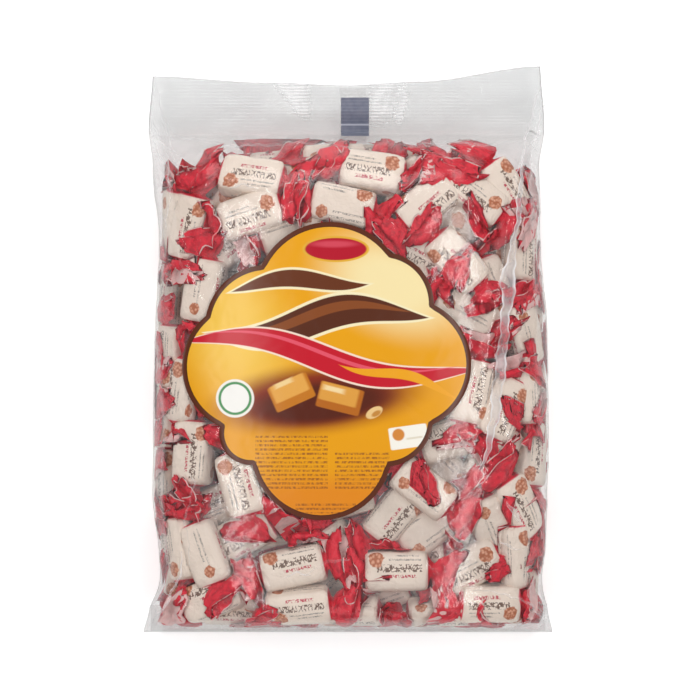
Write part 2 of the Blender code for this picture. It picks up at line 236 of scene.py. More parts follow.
def frontHeight(x, y):
    centre, half, middle, rise, _ = section(y)
    across = np.minimum(1, np.abs(x - centre) / half)
    return middle + rise * (1 - across ** bagShape["frontPower"]) ** (1 / bagShape["frontPower"])


# where each wrapped sweet lies

layout = {
    "seed": 7,
    "front": [  # photograph x, y, turn in degrees, and depth step
        (252, 180, -13, 0), (187, 228, 73, 0), (250, 216, 18, 0), (204, 290, 82, 0), (170, 358, 88, 0),
        (194, 452, 87, 0), (161, 480, 89, 1), (242, 483, -75, 0), (284, 503, -50, 1), (205, 553, -68, 0),
        (293, 566, 12, 0), (299, 606, 8, 0), (350, 613, 16, 1), (396, 569, 0, 0), (490, 604, -2, 0),
        (467, 563, 25, 1), (424, 488, -38, 0), (393, 512, 50, 1), (490, 527, -60, 1), (517, 508, -55, 0),
        (471, 392, 78, 0), (504, 410, 66, 0), (524, 334, -62, 0), (541, 400, 88, 1), (462, 312, -25, 1),
        (458, 262, -42, 0), (412, 250, -28, 1), (427, 204, 40, 0), (372, 174, -12, 0), (383, 148, -8, 1),
        (333, 168, -8, 2), (342, 207, -12, 0), (293, 232, 18, 1), (472, 198, -34, 1), (508, 190, -56, 0),
        (283, 163, -4, 2), (236, 619, 4, 1), (531, 452, 84, 1), (163, 541, 78, 1), (440, 612, 10, 1),
        (523, 250, 80, 0), (168, 300, 84, 1), (166, 415, 86, 1), (540, 555, 70, 1), (214, 597, 24, 1),
        (345, 552, -52, 1), (448, 438, 18, 1), (232, 240, 40, 2), (395, 228, 62, 2), (490, 452, 64, 1),
        (245, 535, 30, 2), (428, 530, 42, 2), (486, 290, -66, 1), (395, 620, 4, 2),
    ],
    "hidden": [  # the same for those that the label covers, with how far under the film their tops lie
        (292, 268, 30, 2), (345, 270, -60, 2), (400, 290, 20, 4), (250, 318, 80, 2), (312, 320, -10, 2),
        (368, 330, 70, 2), (418, 352, -70, 3), (232, 372, 10, 3), (288, 378, 60, 2), (340, 392, -25, 2),
        (398, 402, 20, 3), (262, 432, -30, 3), (318, 448, 75, 2), (372, 456, -15, 3), (340, 498, 15, 4),
        (300, 298, 70, 17), (362, 300, 10, 17), (262, 372, -40, 17), (320, 360, 30, 17), (388, 368, -60, 17),
        (300, 425, 5, 17), (362, 432, 60, 17), (440, 385, 10, 14), (352, 500, -60, 17),
    ],
    "second": [  # the same for those close under them, that show in the gaps
        (222, 505, 20), (262, 520, -80), (330, 545, 10), (372, 548, -70), (445, 470, -50), (455, 515, 10),
        (515, 560, 10), (190, 584, -30), (265, 585, 80), (430, 600, -60), (178, 385, 10), (205, 415, -40),
        (212, 250, -10), (225, 212, 70), (315, 195, 40), (355, 180, 10), (405, 182, 30), (450, 225, 20),
        (440, 290, 70), (480, 240, -80), (500, 300, 20), (485, 350, 10), (520, 375, 20), (500, 450, -20),
        (535, 300, 60), (500, 220, 20), (240, 182, 10), (300, 170, 8), (440, 182, -12), (480, 190, -30),
        (520, 590, 60), (380, 600, 40), (330, 585, 60), (165, 510, 20), (172, 235, 60), (168, 330, 20),
        (452, 545, 75), (235, 555, 20), (420, 560, 10),
    ],
    "secondDepth": 15.0,
    "stepDown": 3.5,
    "slopeSpan": 8,  # how far to each side the film's slope is measured
    "lowest": 21.0,  # for the middles of those that lie under others
    "backRows": 8,
    "backColumns": 4,
    "backHalf": 66,
    "backRange": (-114, 190),  # the first y, and the length
    "backStray": 4,
    "backRoom": 0.4,
    "sides": 5,
    "sideRange": (-97, 58),
    "sideRoom": 9.0,
    "sideHeights": (33, 15),
    "ends": [  # y, height, the first and last x, and how many
        (-130.0, 24.0, -62, 66, 5), (79.0, 20.0, -60, 60, 4),
    ],
    "endStep": 6,
    "inner": 8,
    "pull": {  # how strongly each kind is drawn back to its place
        "front": 0.55, "step": 0.12, "second": 0.2, "hidden": 0.25,
        "back": 0.3, "side": 0.15, "end": 0.2, "inner": 0.0,
    },
    "halfThick": 7.0,
    "bodyReach": 9.5,  # how far from its middle the outer two of a sweet's three balls lie
    "bodyBall": 8.0,
    "endReach": 22.5,
    "endBall": 4.4,
    "endPush": 0.15,  # how hard a fan pushes
    "bodyPush": 0.5,
    "pushShare": 0.7,  # the share of each push that one sweep carries out
    "ballRoom": (0.9, 0.5),  # the share of its radius that a body's ball and a fan's ball keep from the film
    "middleFrom": (0.7, 0.3),  # how a middle is weighed from the body's balls and from all five
    "film": 0.5,  # room between the film and the paper
    "underFilm": 1.5,  # room between the film and a body, for the fans that lie over it
    "pressed": 0.045,  # the share of the way to the film in which fans are pressed flat
    "softEnds": (-130.0, 7.0, 98.0, 7.0),  # y past which fans crowd together, and in what length, at both ends
    "topLine": [  # x, y: how far up the slabs lie, as the photograph shows, with only fans above them
        (-90, 76), (-72, 88), (-60, 95), (-33, 94), (-20, 97), (0, 99), (25, 100), (38, 92), (60, 89), (78, 90),
        (90, 82),
    ],
    "sweeps": 90,
}


def placeSweets():
    chance = np.random.default_rng(layout["seed"])
    pull, halfThick, span, stray = layout["pull"], layout["halfThick"], layout["slopeSpan"], layout["backStray"]
    upward = np.array([0.0, 0.0, 1.0])
    found = []

    def add(middle, axis, out, hold, kind):
        found.append((np.array(middle, float), axis, out, hold, kind))

    for px, py, turn, depth in layout["front"]:
        x, y = fromPhoto(px, py)
        slopeX = (frontHeight(x + span, y) - frontHeight(x - span, y)) / (2 * span)
        slopeY = (frontHeight(x, y + span) - frontHeight(x, y - span)) / (2 * span)
        out = unit(np.array([-slopeX, -slopeY, 1.0]))
        axis = heading(turn)
        axis -= out * axis.dot(out)
        under = (halfThick + layout["underFilm"]) / max(out[2], 0.6) + depth * layout["stepDown"]
        add((x, y, frontHeight(x, y) - under), unit(axis), out, pull["front"] - pull["step"] * depth, "seen")
    for px, py, turn in layout["second"]:
        x, y = fromPhoto(px, py)
        axis = unit(heading(turn, chance.uniform(-0.15, 0.15)))
        height = max(layout["lowest"], float(frontHeight(x, y)) - halfThick - layout["secondDepth"])
        add((x, y, height), axis, upward, pull["second"], "seen")
    for px, py, turn, depth in layout["hidden"]:
        x, y = fromPhoto(px, py)
        height = max(layout["lowest"], float(frontHeight(x, y)) - halfThick - depth)
        add((x, y, height), heading(turn), upward, pull["hidden"], "covered")
    rows, columns = layout["backRows"], layout["backColumns"]
    firstY, long = layout["backRange"]
    for row in range(rows):
        for column in range(columns):
            stagger = 0.25 if row % 2 else -0.25
            share = 2 * (column + stagger) / (columns - 1) - 1
            x = layout["backHalf"] * share + chance.uniform(-stray, stray)
            y = firstY + long * row / (rows - 1) + chance.uniform(-stray, stray)
            axis = heading(chance.uniform(-50, 50) + 90 * (column % 2 == row % 2))
            add((x, y, halfThick + layout["backRoom"]), axis, -upward, pull["back"], "outer")
    for side in (-1, 1):
        for index in range(layout["sides"]):
            first, last = layout["sideRange"]
            y = first + (last - first) * index / (layout["sides"] - 1)
            centre, half = section(y)[:2]
            middle = (centre + side * (half - layout["sideRoom"]), y, layout["sideHeights"][index % 2])
            axis = unit(np.array([0.0, 1.0, chance.uniform(-0.4, 0.4)]))
            add(middle, axis, np.array([float(side), 0.0, 0.1]), pull["side"], "outer")
    for y, z, firstX, lastX, number in layout["ends"]:
        out = np.array([0.0, math.copysign(1, y), 0.2])
        for index in range(number):
            x = firstX + (lastX - firstX) * index / (number - 1)
            height = z + (layout["endStep"] if index % 2 else -layout["endStep"])
            add((x, y, height), np.array([1.0, 0.0, chance.uniform(-0.5, 0.5)]), out, pull["end"], "outer")
    for index in range(layout["inner"]):
        x, y = chance.uniform(-70, 70), chance.uniform(-105, 70)
        axis = unit(chance.normal(size=3) * np.array([1, 1, 0.5]))
        add((x, y, chance.uniform(20, 26)), axis, upward, pull["inner"], "loose")
    middles, axes, outs, holds, kinds = (np.array(column) for column in zip(*found))
    middles, axes = pushApart(middles, axes, holds[:, None, None])
    return middles, axes, outs, kinds


def pushApart(middles, axes, pull):
    # each sweet is a row of five balls that shove their neighbours and stay under the film
    reach = np.array([-layout["endReach"], -layout["bodyReach"], 0, layout["bodyReach"], layout["endReach"]])
    balls = np.array([layout["endBall"]] + [layout["bodyBall"]] * 3 + [layout["endBall"]])
    bodyRoom, endRoom = layout["ballRoom"]
    fromBody, fromAll = layout["middleFrom"]
    lineX, lineY = np.array(layout["topLine"], float).T
    count = len(middles)
    wanted = middles[:, None] + axes[:, None] * reach[None, :, None]
    places = wanted.copy()
    radius = np.tile(balls, count)
    owner = np.repeat(np.arange(count), 5)
    same = owner[:, None] == owner[None]
    soft = radius < layout["bodyBall"]
    weight = np.where(soft[:, None] | soft[None], layout["endPush"], layout["bodyPush"])
    least = radius[:, None] + radius[None]
    for sweep in range(layout["sweeps"]):
        flat = places.reshape(-1, 3)
        apart = flat[:, None] - flat[None]
        distance = np.sqrt((apart ** 2).sum(2)) + 1e-6
        over = np.where(same, 0, np.maximum(0, least - distance))
        shove = (apart * (over * weight / distance)[..., None]).sum(1)
        flat = flat + shove * layout["pushShare"]
        places = flat.reshape(count, 5, 3)
        places += (wanted - places) * pull
        for part, ball in enumerate(balls):
            body = part in (1, 2, 3)
            room = ball * bodyRoom + layout["underFilm"] if body else ball * endRoom
            places[:, part] = heldInside(places[:, part], room)
            if body:
                limit = np.interp(places[:, part, 0], lineX, lineY) - ball
                places[:, part, 1] = np.minimum(places[:, part, 1], limit)
        middles = places[:, 1:4].mean(1) * fromBody + places.mean(1) * fromAll
        axes = places[:, 4] - places[:, 0] + (places[:, 3] - places[:, 1]) * 2
        axes /= np.linalg.norm(axes, axis=1, keepdims=True)
        places = middles[:, None] + axes[:, None] * reach[None, :, None]
    return middles, axes


middles, axes, outs, kinds = placeSweets()
note(f"{len(middles)} sweets placed")


# one wrapped sweet: a tube of waxed paper round a slab of toffee, twisted and fanned at both ends

wrapper = {
    "stations": [  # place on the sheet, distance along, half width, half thickness, boxiness, pleat depth
        (0.0, 0.0, 9.7, 7.1, 5.0, 0.0), (6.0, 6.0, 9.7, 7.1, 5.0, 0.0), (11.0, 11.0, 9.6, 7.0, 5.0, 0.0),
        (14.0, 14.0, 9.3, 6.7, 4.5, 0.01), (15.3, 15.1, 8.3, 5.8, 3.4, 0.05), (16.4, 15.8, 6.0, 4.6, 2.6, 0.12),
        (17.6, 16.4, 3.9, 3.4, 2.0, 0.2), (18.4, 17.1, 3.3, 2.8, 2.0, 0.24), (19.6, 18.2, 5.2, 3.2, 2.0, 0.22),
        (21.2, 19.8, 8.0, 3.9, 2.0, 0.18), (23.2, 21.7, 10.3, 4.6, 2.0, 0.15),
        (25.4, 23.9, 11.8, 5.1, 2.0, 0.13), (27.6, 26.3, 12.7, 5.8, 2.0, 0.16),
        (29.6, 28.8, 12.8, 6.2, 2.0, 0.17), (30.2, 28.4, 12.2, 5.7, 2.0, 0.17),
        (33.0, 25.2, 9.4, 3.8, 2.0, 0.16), (36.0, 22.0, 5.0, 1.8, 2.0, 0.15),
    ],
    "fewer": (1, 4, 6, 9, 11, 12, 14),  # stations that the sweets underneath go without
    "around": (28, 16, 16),
    "seed": 21,
    "neck": 17.1,
    "creased": (15.2, 23.5),  # where on the sheet the creases are hard
    "knot": 18.4,  # the place on the sheet where it is twisted tightest
    "girth": 62.0,
    "upright": (0.45, 0.1),  # how often a fan stands up, on sweets that show and on the others
    "halfBody": (16.0, 10.2, 7.4),  # what a neighbour's fan is kept out of
    "nearby": 46,
    "climb": 4.0,  # how much higher a neighbour may be for a fan to lie over it
    "overlap": 2.5,  # how far a fan reaches into a neighbour before it lies over it
}


def wrapperTube(around, stations):
    # one ring extruded along the sheet, as by hand, and closed inside each fan
    deselectAll()
    rows = [(-row[0], -row[1]) + row[2:] for row in reversed(stations[1:])] + list(stations)
    bpy.ops.mesh.primitive_circle_add(vertices=around, radius=1, fill_type="NOTHING",
                                      rotation=(0, math.pi / 2, 0))
    tube = bpy.context.object
    bpy.ops.object.transform_apply(location=False, rotation=True, scale=False)
    bpy.ops.object.mode_set(mode="EDIT")
    bpy.ops.mesh.select_all(action="SELECT")
    bpy.ops.transform.translate(value=(rows[0][0], 0, 0))
    for low, high in zip(rows, rows[1:]):
        bpy.ops.mesh.extrude_region_move(TRANSFORM_OT_translate={"value": (high[0] - low[0], 0, 0)})
    shape = bmesh.from_edit_mesh(tube.data)
    for end in (rows[0][0], rows[-1][0]):
        rim = [vertex for vertex in shape.verts if abs(vertex.co.x - end) < 0.01]
        rim.sort(key=lambda vertex: math.atan2(vertex.co.z, vertex.co.y) % (2 * math.pi - 0.001))
        for corners in endCap(rim):
            shape.faces.new(corners)
    bmesh.ops.recalc_face_normals(shape, faces=shape.faces)
    bmesh.update_edit_mesh(tube.data)
    bpy.ops.object.mode_set(mode="OBJECT")
    points = np.array([vertex.co[:] for vertex in tube.data.vertices])
    faces = [tuple(face.vertices) for face in tube.data.polygons]
    bpy.data.objects.remove(tube)
    turn = np.arctan2(points[:, 2], points[:, 1])
    row = np.array([int(np.argmin([abs(at - r[0]) for r in rows])) for at in points[:, 0]])
    return rows, row, turn, faces


def shapeSweet(tube, chance, rollPrint, upright):
    rows, row, turn, faces = tube
    sheet, along, wide, thick, power, pleat = np.array(rows)[row].T
    neck = wrapper["neck"]
    fan = smooth(neck, 25.0, np.abs(sheet)) * (np.abs(sheet) > neck)
    count = int(chance.integers(5, 9))
    cosine, sine = np.cos(turn), np.sin(turn)
    boxed = (np.abs(cosine) ** power + np.abs(sine) ** power) ** (-1 / power)
    dent = 0.4 * np.sin(along * 0.35 + chance.uniform(0, 6)) * np.sin(turn * 3 + chance.uniform(0, 6))
    swell = 0.25 * np.sin(turn * 2 + chance.uniform(0, 6))
    y, z = np.zeros(len(turn)), np.zeros(len(turn))
    x = along.copy()
    size = np.abs(along)
    for end in (-1, 1):
        phase, start, second = chance.uniform(0, 6.28, 3)
        twist = (size - 15) * 0.28
        waves = np.cos(turn * count + phase + twist * 2) + 0.3 * np.cos(turn * (count * 2 - 1) + start)
        ripple = 1 + pleat * waves
        side = wide * cosine * boxed * ripple * (1 + (chance.uniform(0.86, 1.1) - 1) * fan)
        high = thick * sine * boxed * ripple * (1 + (chance.uniform(0.35, 1.1) - 1) * fan)
        # the paper of the fan is crumpled, and its cut edge is ragged
        crumple = 0.8 * np.sin(turn * 3 + along * 0.5 + start) + 0.3 * np.sin(turn * 5 - along * 0.9 + second)
        side = side + fan * crumple
        crumple = 1.0 * np.sin(turn * 2 - along * 0.6 + second) + 0.6 * np.sin(turn * 4 + along * 0.8 + start)
        high = high + fan * crumple
        ragged = 1.0 * np.sin(turn * 2 + start) + 0.5 * np.sin(turn * 4 + second)
        past = size - neck + smooth(21, 28, size) * ragged
        # each end turns about its neck: rolled, swung aside, and bent up towards the film or down
        roll, swing = chance.uniform(-0.8, 0.8), chance.uniform(-0.45, 0.45)
        bend = chance.uniform(0.5, 1.1) if chance.uniform() < upright else chance.uniform(0.0, 0.45)
        ease = smooth(neck - 1.5, neck + 4.0, size)
        side, high = rotated(side, high, roll * ease)
        reach, behind = np.maximum(past, 0), np.minimum(past, 0)
        reach, high = rotated(reach, high, bend * ease)
        reach, side = rotated(reach, side, swing * ease)
        here = (along > 0) if end > 0 else (along <= 0)
        x = np.where(here & (size > 12), end * (neck + behind + reach), x)
        y = np.where(here, side, y)
        z = np.where(here, high, z)
    body = 1 - smooth(11.0, 16.0, size)
    y = y + body * swell
    z = z + body * dent
    around = (turn / (2 * math.pi) + rollPrint) % 1.0
    return np.stack([x, y, z], 1), np.stack([sheet, around], 1), faces


def keepClear(fans, frames):
    # a fan that reaches into a neighbour's slab lies over it, or crumples against the side that its neck faces
    half = np.array(wrapper["halfBody"])
    for sweep in range(3):
        for fan in fans:
            neck, owner = fan["neck"], fan["owner"]
            for other in np.nonzero(np.linalg.norm(middles - neck, axis=1) < wrapper["nearby"])[0]:
                if other == owner:
                    continue
                turnTo = frames[other]
                local = (fan["points"] - middles[other]) @ turnTo.T
                inside = (np.abs(local) < half).all(1)
                if not inside.any():
                    continue
                start = turnTo @ (neck - middles[other])
                side = int(np.argmax(np.abs(start) / half))
                facing = math.copysign(1, start[side])
                needed = half[side] - facing * local[inside, side]
                above = (middles[owner] - middles[other]).dot(turnTo[2]) > -wrapper["climb"]
                if owner < len(layout["front"]) and above and needed.max() > wrapper["overlap"]:
                    outside = np.maximum(np.abs(local[:, :2]) - half[:2], 0).max(1)
                    lift = 1 - smooth(0.5, 5.0, outside)
                    target = half[2] + 0.1 + 0.5 * np.clip((local[:, 2] + half[2]) / (2 * half[2]), 0, 1)
                    raised = local[:, 2] + (target - local[:, 2]) * lift
                    local[:, 2] = np.where(local[:, 2] < target, raised, local[:, 2])
                else:
                    local[inside, side] = facing * (half[side] + 0.1 + 0.5 * (1 - needed / (2 * half[side])))
                fan["points"][:] = local @ turnTo + middles[other]


def buildSweets():
    chance = np.random.default_rng(wrapper["seed"])
    stations = wrapper["stations"]
    fewer = [row for index, row in enumerate(stations) if index not in wrapper["fewer"]]
    tubes = [wrapperTube(around, rows) for around, rows in zip(wrapper["around"], (stations, stations, fewer))]
    uv, own, faces, frames, placedAll, start = [], [], [], [], [], 0
    for index, (middle, axis, out, kind) in enumerate(zip(middles, axes, outs, kinds)):
        rollPrint = chance.choice([0.0, 0.0, 0.0, 0.5, 0.25]) + chance.uniform(-0.06, 0.06)
        tube = tubes[0] if index < len(layout["front"]) else tubes[1] if kind == "seen" else tubes[2]
        upright = wrapper["upright"][0 if kind == "seen" else 1]
        local, sheet, sides = shapeSweet(tube, chance, rollPrint, upright)
        if kind == "loose":
            out = chance.normal(size=3)
        if chance.uniform() < 0.5:
            axis = -axis
        up = unit(out - axis * out.dot(axis))
        aside, up = rotated(np.cross(up, axis), up, chance.uniform(-0.12, 0.12))
        turnTo = np.stack([axis, aside, up])
        frames.append(turnTo)
        placedAll.append((middle + local @ turnTo, sheet[:, 0]))
        uv.append(sheet)
        own.append(np.full(len(local), chance.uniform()))
        faces.extend(tuple(corner + start for corner in face) for face in sides)
        start += len(local)
    fans = []
    for index, (placed, sheet) in enumerate(placedAll):
        for end in (-1, 1):
            here = sheet * end > wrapper["neck"]
            neck = placed[np.abs(sheet - end * wrapper["knot"]) < 0.1].mean(0)
            fans.append({"owner": index, "neck": neck, "here": here, "points": placed[here]})
    keepClear(fans, np.array(frames))
    for fan in fans:
        placedAll[fan["owner"]][0][fan["here"]] = fan["points"]
    points = np.concatenate([placed for placed, sheet in placedAll])
    lowFrom, lowRoom, highFrom, highRoom = layout["softEnds"]
    over, under = np.maximum(0, points[:, 1] - highFrom), np.maximum(0, lowFrom - points[:, 1])
    points[:, 1] += highRoom * (1 - np.exp(-over / highRoom)) - over
    points[:, 1] -= lowRoom * (1 - np.exp(-under / lowRoom)) - under
    points = heldInside(points, layout["film"], layout["pressed"])
    points[:, 2] = np.maximum(points[:, 2], 0.15)
    uv = np.concatenate(uv)
    piece = meshPiece("wrapped_sweets", points, faces, uv, {"own": np.concatenate(own)})
    low, high = wrapper["creased"]
    necks = [low < max(abs(uv[face[0], 0]), abs(uv[face[2], 0])) < high for face in faces]
    # the twisted necks keep their hard creases
    piece.data.polygons.foreach_set("use_smooth", [not neck for neck in necks])
    return piece


sweets = buildSweets()
note(f"sweets have {sum(len(face.vertices) - 2 for face in sweets.data.polygons)} triangles")


# the clear film: a tube round the contents, drawn tight over them

film = {
    "rows": 160,
    "headerRows": 34,
    "around": 340,
    "crowding": 0.11,  # how much closer together the rows lie near both ends
    "reach": 5.0,  # how far out of the full shape each ray starts
    "deepest": 9.0,
    "furthestOut": -3.0,
    "clearance": 0.35,
    "flatTop": (40, 75),  # from where on, up and down the bag, its side edges stay flat
    "flatBottom": (95, 120),
    "flatSides": 0.6,
    "sideways": (0.25, 0.7),  # how far a face has to turn aside to count as a side edge
    "fadeRows": 8,
    "sweeps": 160,
    "ease": 0.9,
    "headerThin": 0.7,  # how much of its thickness the header loses up to the top edge
    "headerRoom": 30,  # how far past the contents the section narrows to the top edge
    "crimpPitch": 1.6,
    "crimpDepth": 0.1,
    "paintedGlare": [  # painted glare on the header's ribs, where it buckles: x, y and half width in photograph pixels, top and foot
        ((288, 76, 19), (307, 121, 3)), ((390, 78, 17), (377, 128, 9)), ((404, 90, 5), (398, 126, 3)),
    ],
    # x where the header's middle rises and falls again, and by how much
    "buckle": (-40.7, -23.5, 10.8, 27.9, 3.4),
    "folds": [  # long folds from the packing: photograph points, height and half width in millimetres
        ([(521, 150), (514, 215), (504, 285), (494, 345), (489, 400), (478, 470)], 1.5, 1.6),
        ([(533, 120), (527, 190), (530, 270), (536, 350)], 0.9, 1.6),
        ([(163, 130), (176, 190), (184, 260), (203, 312)], 0.9, 1.7),
        ([(160, 340), (168, 420), (166, 500), (172, 570)], 0.9, 1.7),
        ([(150, 628), (200, 596), (262, 590)], 0.8, 1.7),
        ([(548, 628), (505, 588), (452, 584)], 0.8, 1.7),
        ([(500, 398), (520, 470), (514, 540)], 0.7, 1.5),
        ([(214, 140), (262, 150), (330, 143), (420, 150), (480, 142)], 0.8, 2.0),
        ([(152, 132), (184, 172)], 1.0, 1.5),
        ([(545, 110), (520, 150)], 1.0, 1.5),
    ],
}


def filmRows():
    low, high = bagShape["bottom"], bagShape["contentsTop"]
    share = np.linspace(0, 1, film["rows"])
    body = low + (high - low) * (share - film["crowding"] * np.sin(2 * math.pi * share) / 2)
    header = np.linspace(0, 1, film["headerRows"] + 1)[1:]
    return body, header


def sectionRing(y, around):
    # points round the section, evenly spaced, from the right edge over the front
    centre, half, middle, rise, drop = [float(part) for part in section(y)]
    turn = np.linspace(0, 2 * math.pi, 721)
    cosine, sine = np.cos(turn), np.sin(turn)
    power = np.where(sine >= 0, bagShape["frontPower"], bagShape["backPower"])
    x = centre + half * np.sign(cosine) * np.abs(cosine) ** (2 / power)
    z = middle + np.where(sine >= 0, rise, drop) * np.sign(sine) * np.abs(sine) ** (2 / power)
    places = []
    for part in (slice(0, 361), slice(360, 721)):
        steps = np.hypot(np.diff(x[part]), np.diff(z[part]))
        length = np.concatenate([[0], np.cumsum(steps)])
        even = np.linspace(0, length[-1], around // 2 + 1)[:-1]
        across, up = (np.interp(even, length, values[part]) for values in (x, z))
        places.append(np.stack([across, np.full(len(even), y), up], 1))
    return np.concatenate(places)


def filmShape():
    body, header = filmRows()
    around = film["around"]
    grid = [sectionRing(y, around) for y in body]
    for share in header:
        ring = sectionRing(bagShape["contentsTop"] + share * film["headerRoom"], around)
        top = readTable(bagShape["topEdge"], ring[:, 0], 1)
        ring[:, 1] = bagShape["contentsTop"] + share * (top - bagShape["contentsTop"])
        thin = 1 - film["headerThin"] * share
        ring[:, 2] = bagShape["headerHeight"] + (ring[:, 2] - bagShape["headerHeight"]) * thin
        grid.append(ring)
    return np.array(grid)


def outward(grid):
    across = np.roll(grid, -1, 1) - np.roll(grid, 1, 1)
    along = np.gradient(grid, axis=0)
    normal = np.cross(across, along)
    return normal / np.maximum(1e-9, np.linalg.norm(normal, axis=2, keepdims=True))


def drapeFilm():
    grid = filmShape()
    normal = outward(grid)
    rows, fadeRows = film["rows"], film["fadeRows"]
    middle = grid.mean(1, keepdims=True)
    if (normal[rows // 2] * (grid[rows // 2] - middle[rows // 2])).sum() < 0:
        normal = -normal
    tree = BVHTree.FromObject(sweets, bpy.context.evaluated_depsgraph_get())
    limit = np.full(grid.shape[:2], film["deepest"])
    length = (film["reach"] + film["deepest"]) * mm
    for row in range(2, rows - 1):
        for column in range(grid.shape[1]):
            start = (grid[row, column] + normal[row, column] * film["reach"]) * mm
            hit, _, _, distance = tree.ray_cast(Vector(start), Vector(-normal[row, column]), length)
            if hit is not None:
                limit[row, column] = distance / mm - film["reach"]
    gap = limit.copy()
    limit = np.clip(limit - film["clearance"], film["furthestOut"], film["deepest"])
    limit[:2] = 0
    limit[rows - 1:] = 0
    fade = np.ones(len(grid))
    fade[:fadeRows] = np.linspace(0, 1, fadeRows)
    fade[rows - fadeRows:rows] = np.linspace(1, 0, fadeRows)
    fade[rows:] = 0
    # the flat side edges of the bag stand out past the sweets near both ends
    sideways = smooth(*film["sideways"], np.abs(normal[..., 0]))
    flatEnds = np.maximum(smooth(*film["flatTop"], grid[..., 1]), smooth(*film["flatBottom"], -grid[..., 1]))
    flatEnds = np.maximum(flatEnds, film["flatSides"])
    limit = np.where(limit > 0, limit * (1 - sideways * flatEnds), limit) * fade[:, None]
    depth = np.minimum(limit, 0)
    for sweep in range(film["sweeps"]):
        places = grid - normal * depth[..., None]
        near = (np.roll(places, 1, 1) + np.roll(places, -1, 1)) / 4
        near[1:-1] += (places[2:] + places[:-2]) / 4
        near[0] += places[0] / 2
        near[-1] += places[-1] / 2
        inward = -((near - places) * normal).sum(2)
        depth = np.minimum(depth + film["ease"] * inward, limit)
        depth = np.maximum(depth, film["furthestOut"])
    places = grid - normal * depth[..., None]
    gap = np.clip(gap - depth, 0, film["deepest"])
    return places, normal, gap


def filmFolds(places, normal):
    flat = places[..., :2].reshape(-1, 2)
    up = normal[..., 2].reshape(-1) > 0.05
    raised = np.zeros(len(flat))
    for line, height, wide in film["folds"]:
        line = np.array([fromPhoto(*at) for at in line])
        nearest = np.full(len(flat), 1e9)
        for start, end in zip(line, line[1:]):
            step = end - start
            share = np.clip(((flat - start) @ step) / (step @ step), 0, 1)
            nearest = np.minimum(nearest, np.linalg.norm(flat - start - share[:, None] * step, axis=1))
        ends = np.minimum(np.linalg.norm(flat - line[0], axis=1), np.linalg.norm(flat - line[-1], axis=1))
        fade = smooth(0, 14, ends)
        raised = np.maximum(raised, np.where(up, height * np.exp(-(nearest / wide) ** 2) * fade, 0))
    return raised.reshape(places.shape[:2])


def buildFilm():
    places, normal, gap = drapeFilm()
    rows, around = places.shape[:2]
    places = places + normal * filmFolds(places, normal)[..., None]
    # the header waves a little, and its middle is buckled
    foot = bagShape["contentsTop"]
    header = smooth(foot - 6, foot + 10, places[..., 1])
    x, y = places[..., 0], places[..., 1]
    wave = 0.7 * np.sin(x * 0.055 + 0.6) + 0.4 * np.sin(x * 0.13 + y * 0.05)
    first, second, third, fourth, rise = film["buckle"]
    lifted = rise * np.clip((x - first) / (second - first), 0, 1)
    buckle = lifted * (1 - np.clip((x - third) / (fourth - third), 0, 1))
    places[..., 2] += header * wave + smooth(foot + 2, foot + 12, y) * buckle
    # painted glare: patches of the buckled header whose ribs the material paints bright, standing in for
    # reflected light
    paintedGlare = np.zeros(x.shape)
    for (topX, topY, topHalf), (footX, footY, footHalf) in film["paintedGlare"]:
        (highX, highY), (lowX, lowY) = fromPhoto(topX, topY), fromPhoto(footX, footY)
        down = (highY - y) / (highY - lowY)
        half = (topHalf + (footHalf - topHalf) * np.clip(down, 0, 1)) * pixel
        aside = np.abs(x - highX - (lowX - highX) * down) / half
        patch = smooth(-0.1, 0.1, down) * (1 - smooth(0.75, 1.05, down)) * (1 - smooth(0.6, 1.25, aside))
        paintedGlare = np.maximum(paintedGlare, patch)
    paintedGlare = np.where(normal[..., 2] > 0, paintedGlare, 0)
    places[..., 2] = np.maximum(places[..., 2], 0.05)
    gap = np.where(np.arange(rows)[:, None] >= film["rows"] - 1, film["deepest"], gap)
    faces = quads(rows, around, closed=True)
    for row, turned in ((0, 1), (rows - 1, 0)):  # the two sheets meet at the bottom fold and at the top edge
        for corners in endCap(range(row * around, (row + 1) * around)):
            faces.append(corners[::-1] if turned else corners)
    values = {"gap": gap.reshape(-1), "header": header.reshape(-1), "paintedGlare": paintedGlare.reshape(-1)}
    piece = meshPiece("film", places.reshape(-1, 3), faces, None, values)
    faceOutward(piece)
    return piece


filmPiece = buildFilm()
note(f"film has {len(filmPiece.data.polygons)} faces")
filmTree = BVHTree.FromObject(filmPiece, bpy.context.evaluated_depsgraph_get())


def filmTop(x, y):
    hit = filmTree.ray_cast(Vector((x, y, 120)) * mm, Vector((0, 0, -1)), 0.2)
    return hit[0].z / mm if hit[0] is not None else float(frontHeight(x, y))


def filmUnder(x, y):
    hit = filmTree.ray_cast(Vector((x, y, -20)) * mm, Vector((0, 0, 1)), 0.2)
    return hit[0].z / mm if hit[0] is not None else 1.0


# the label printed on the film

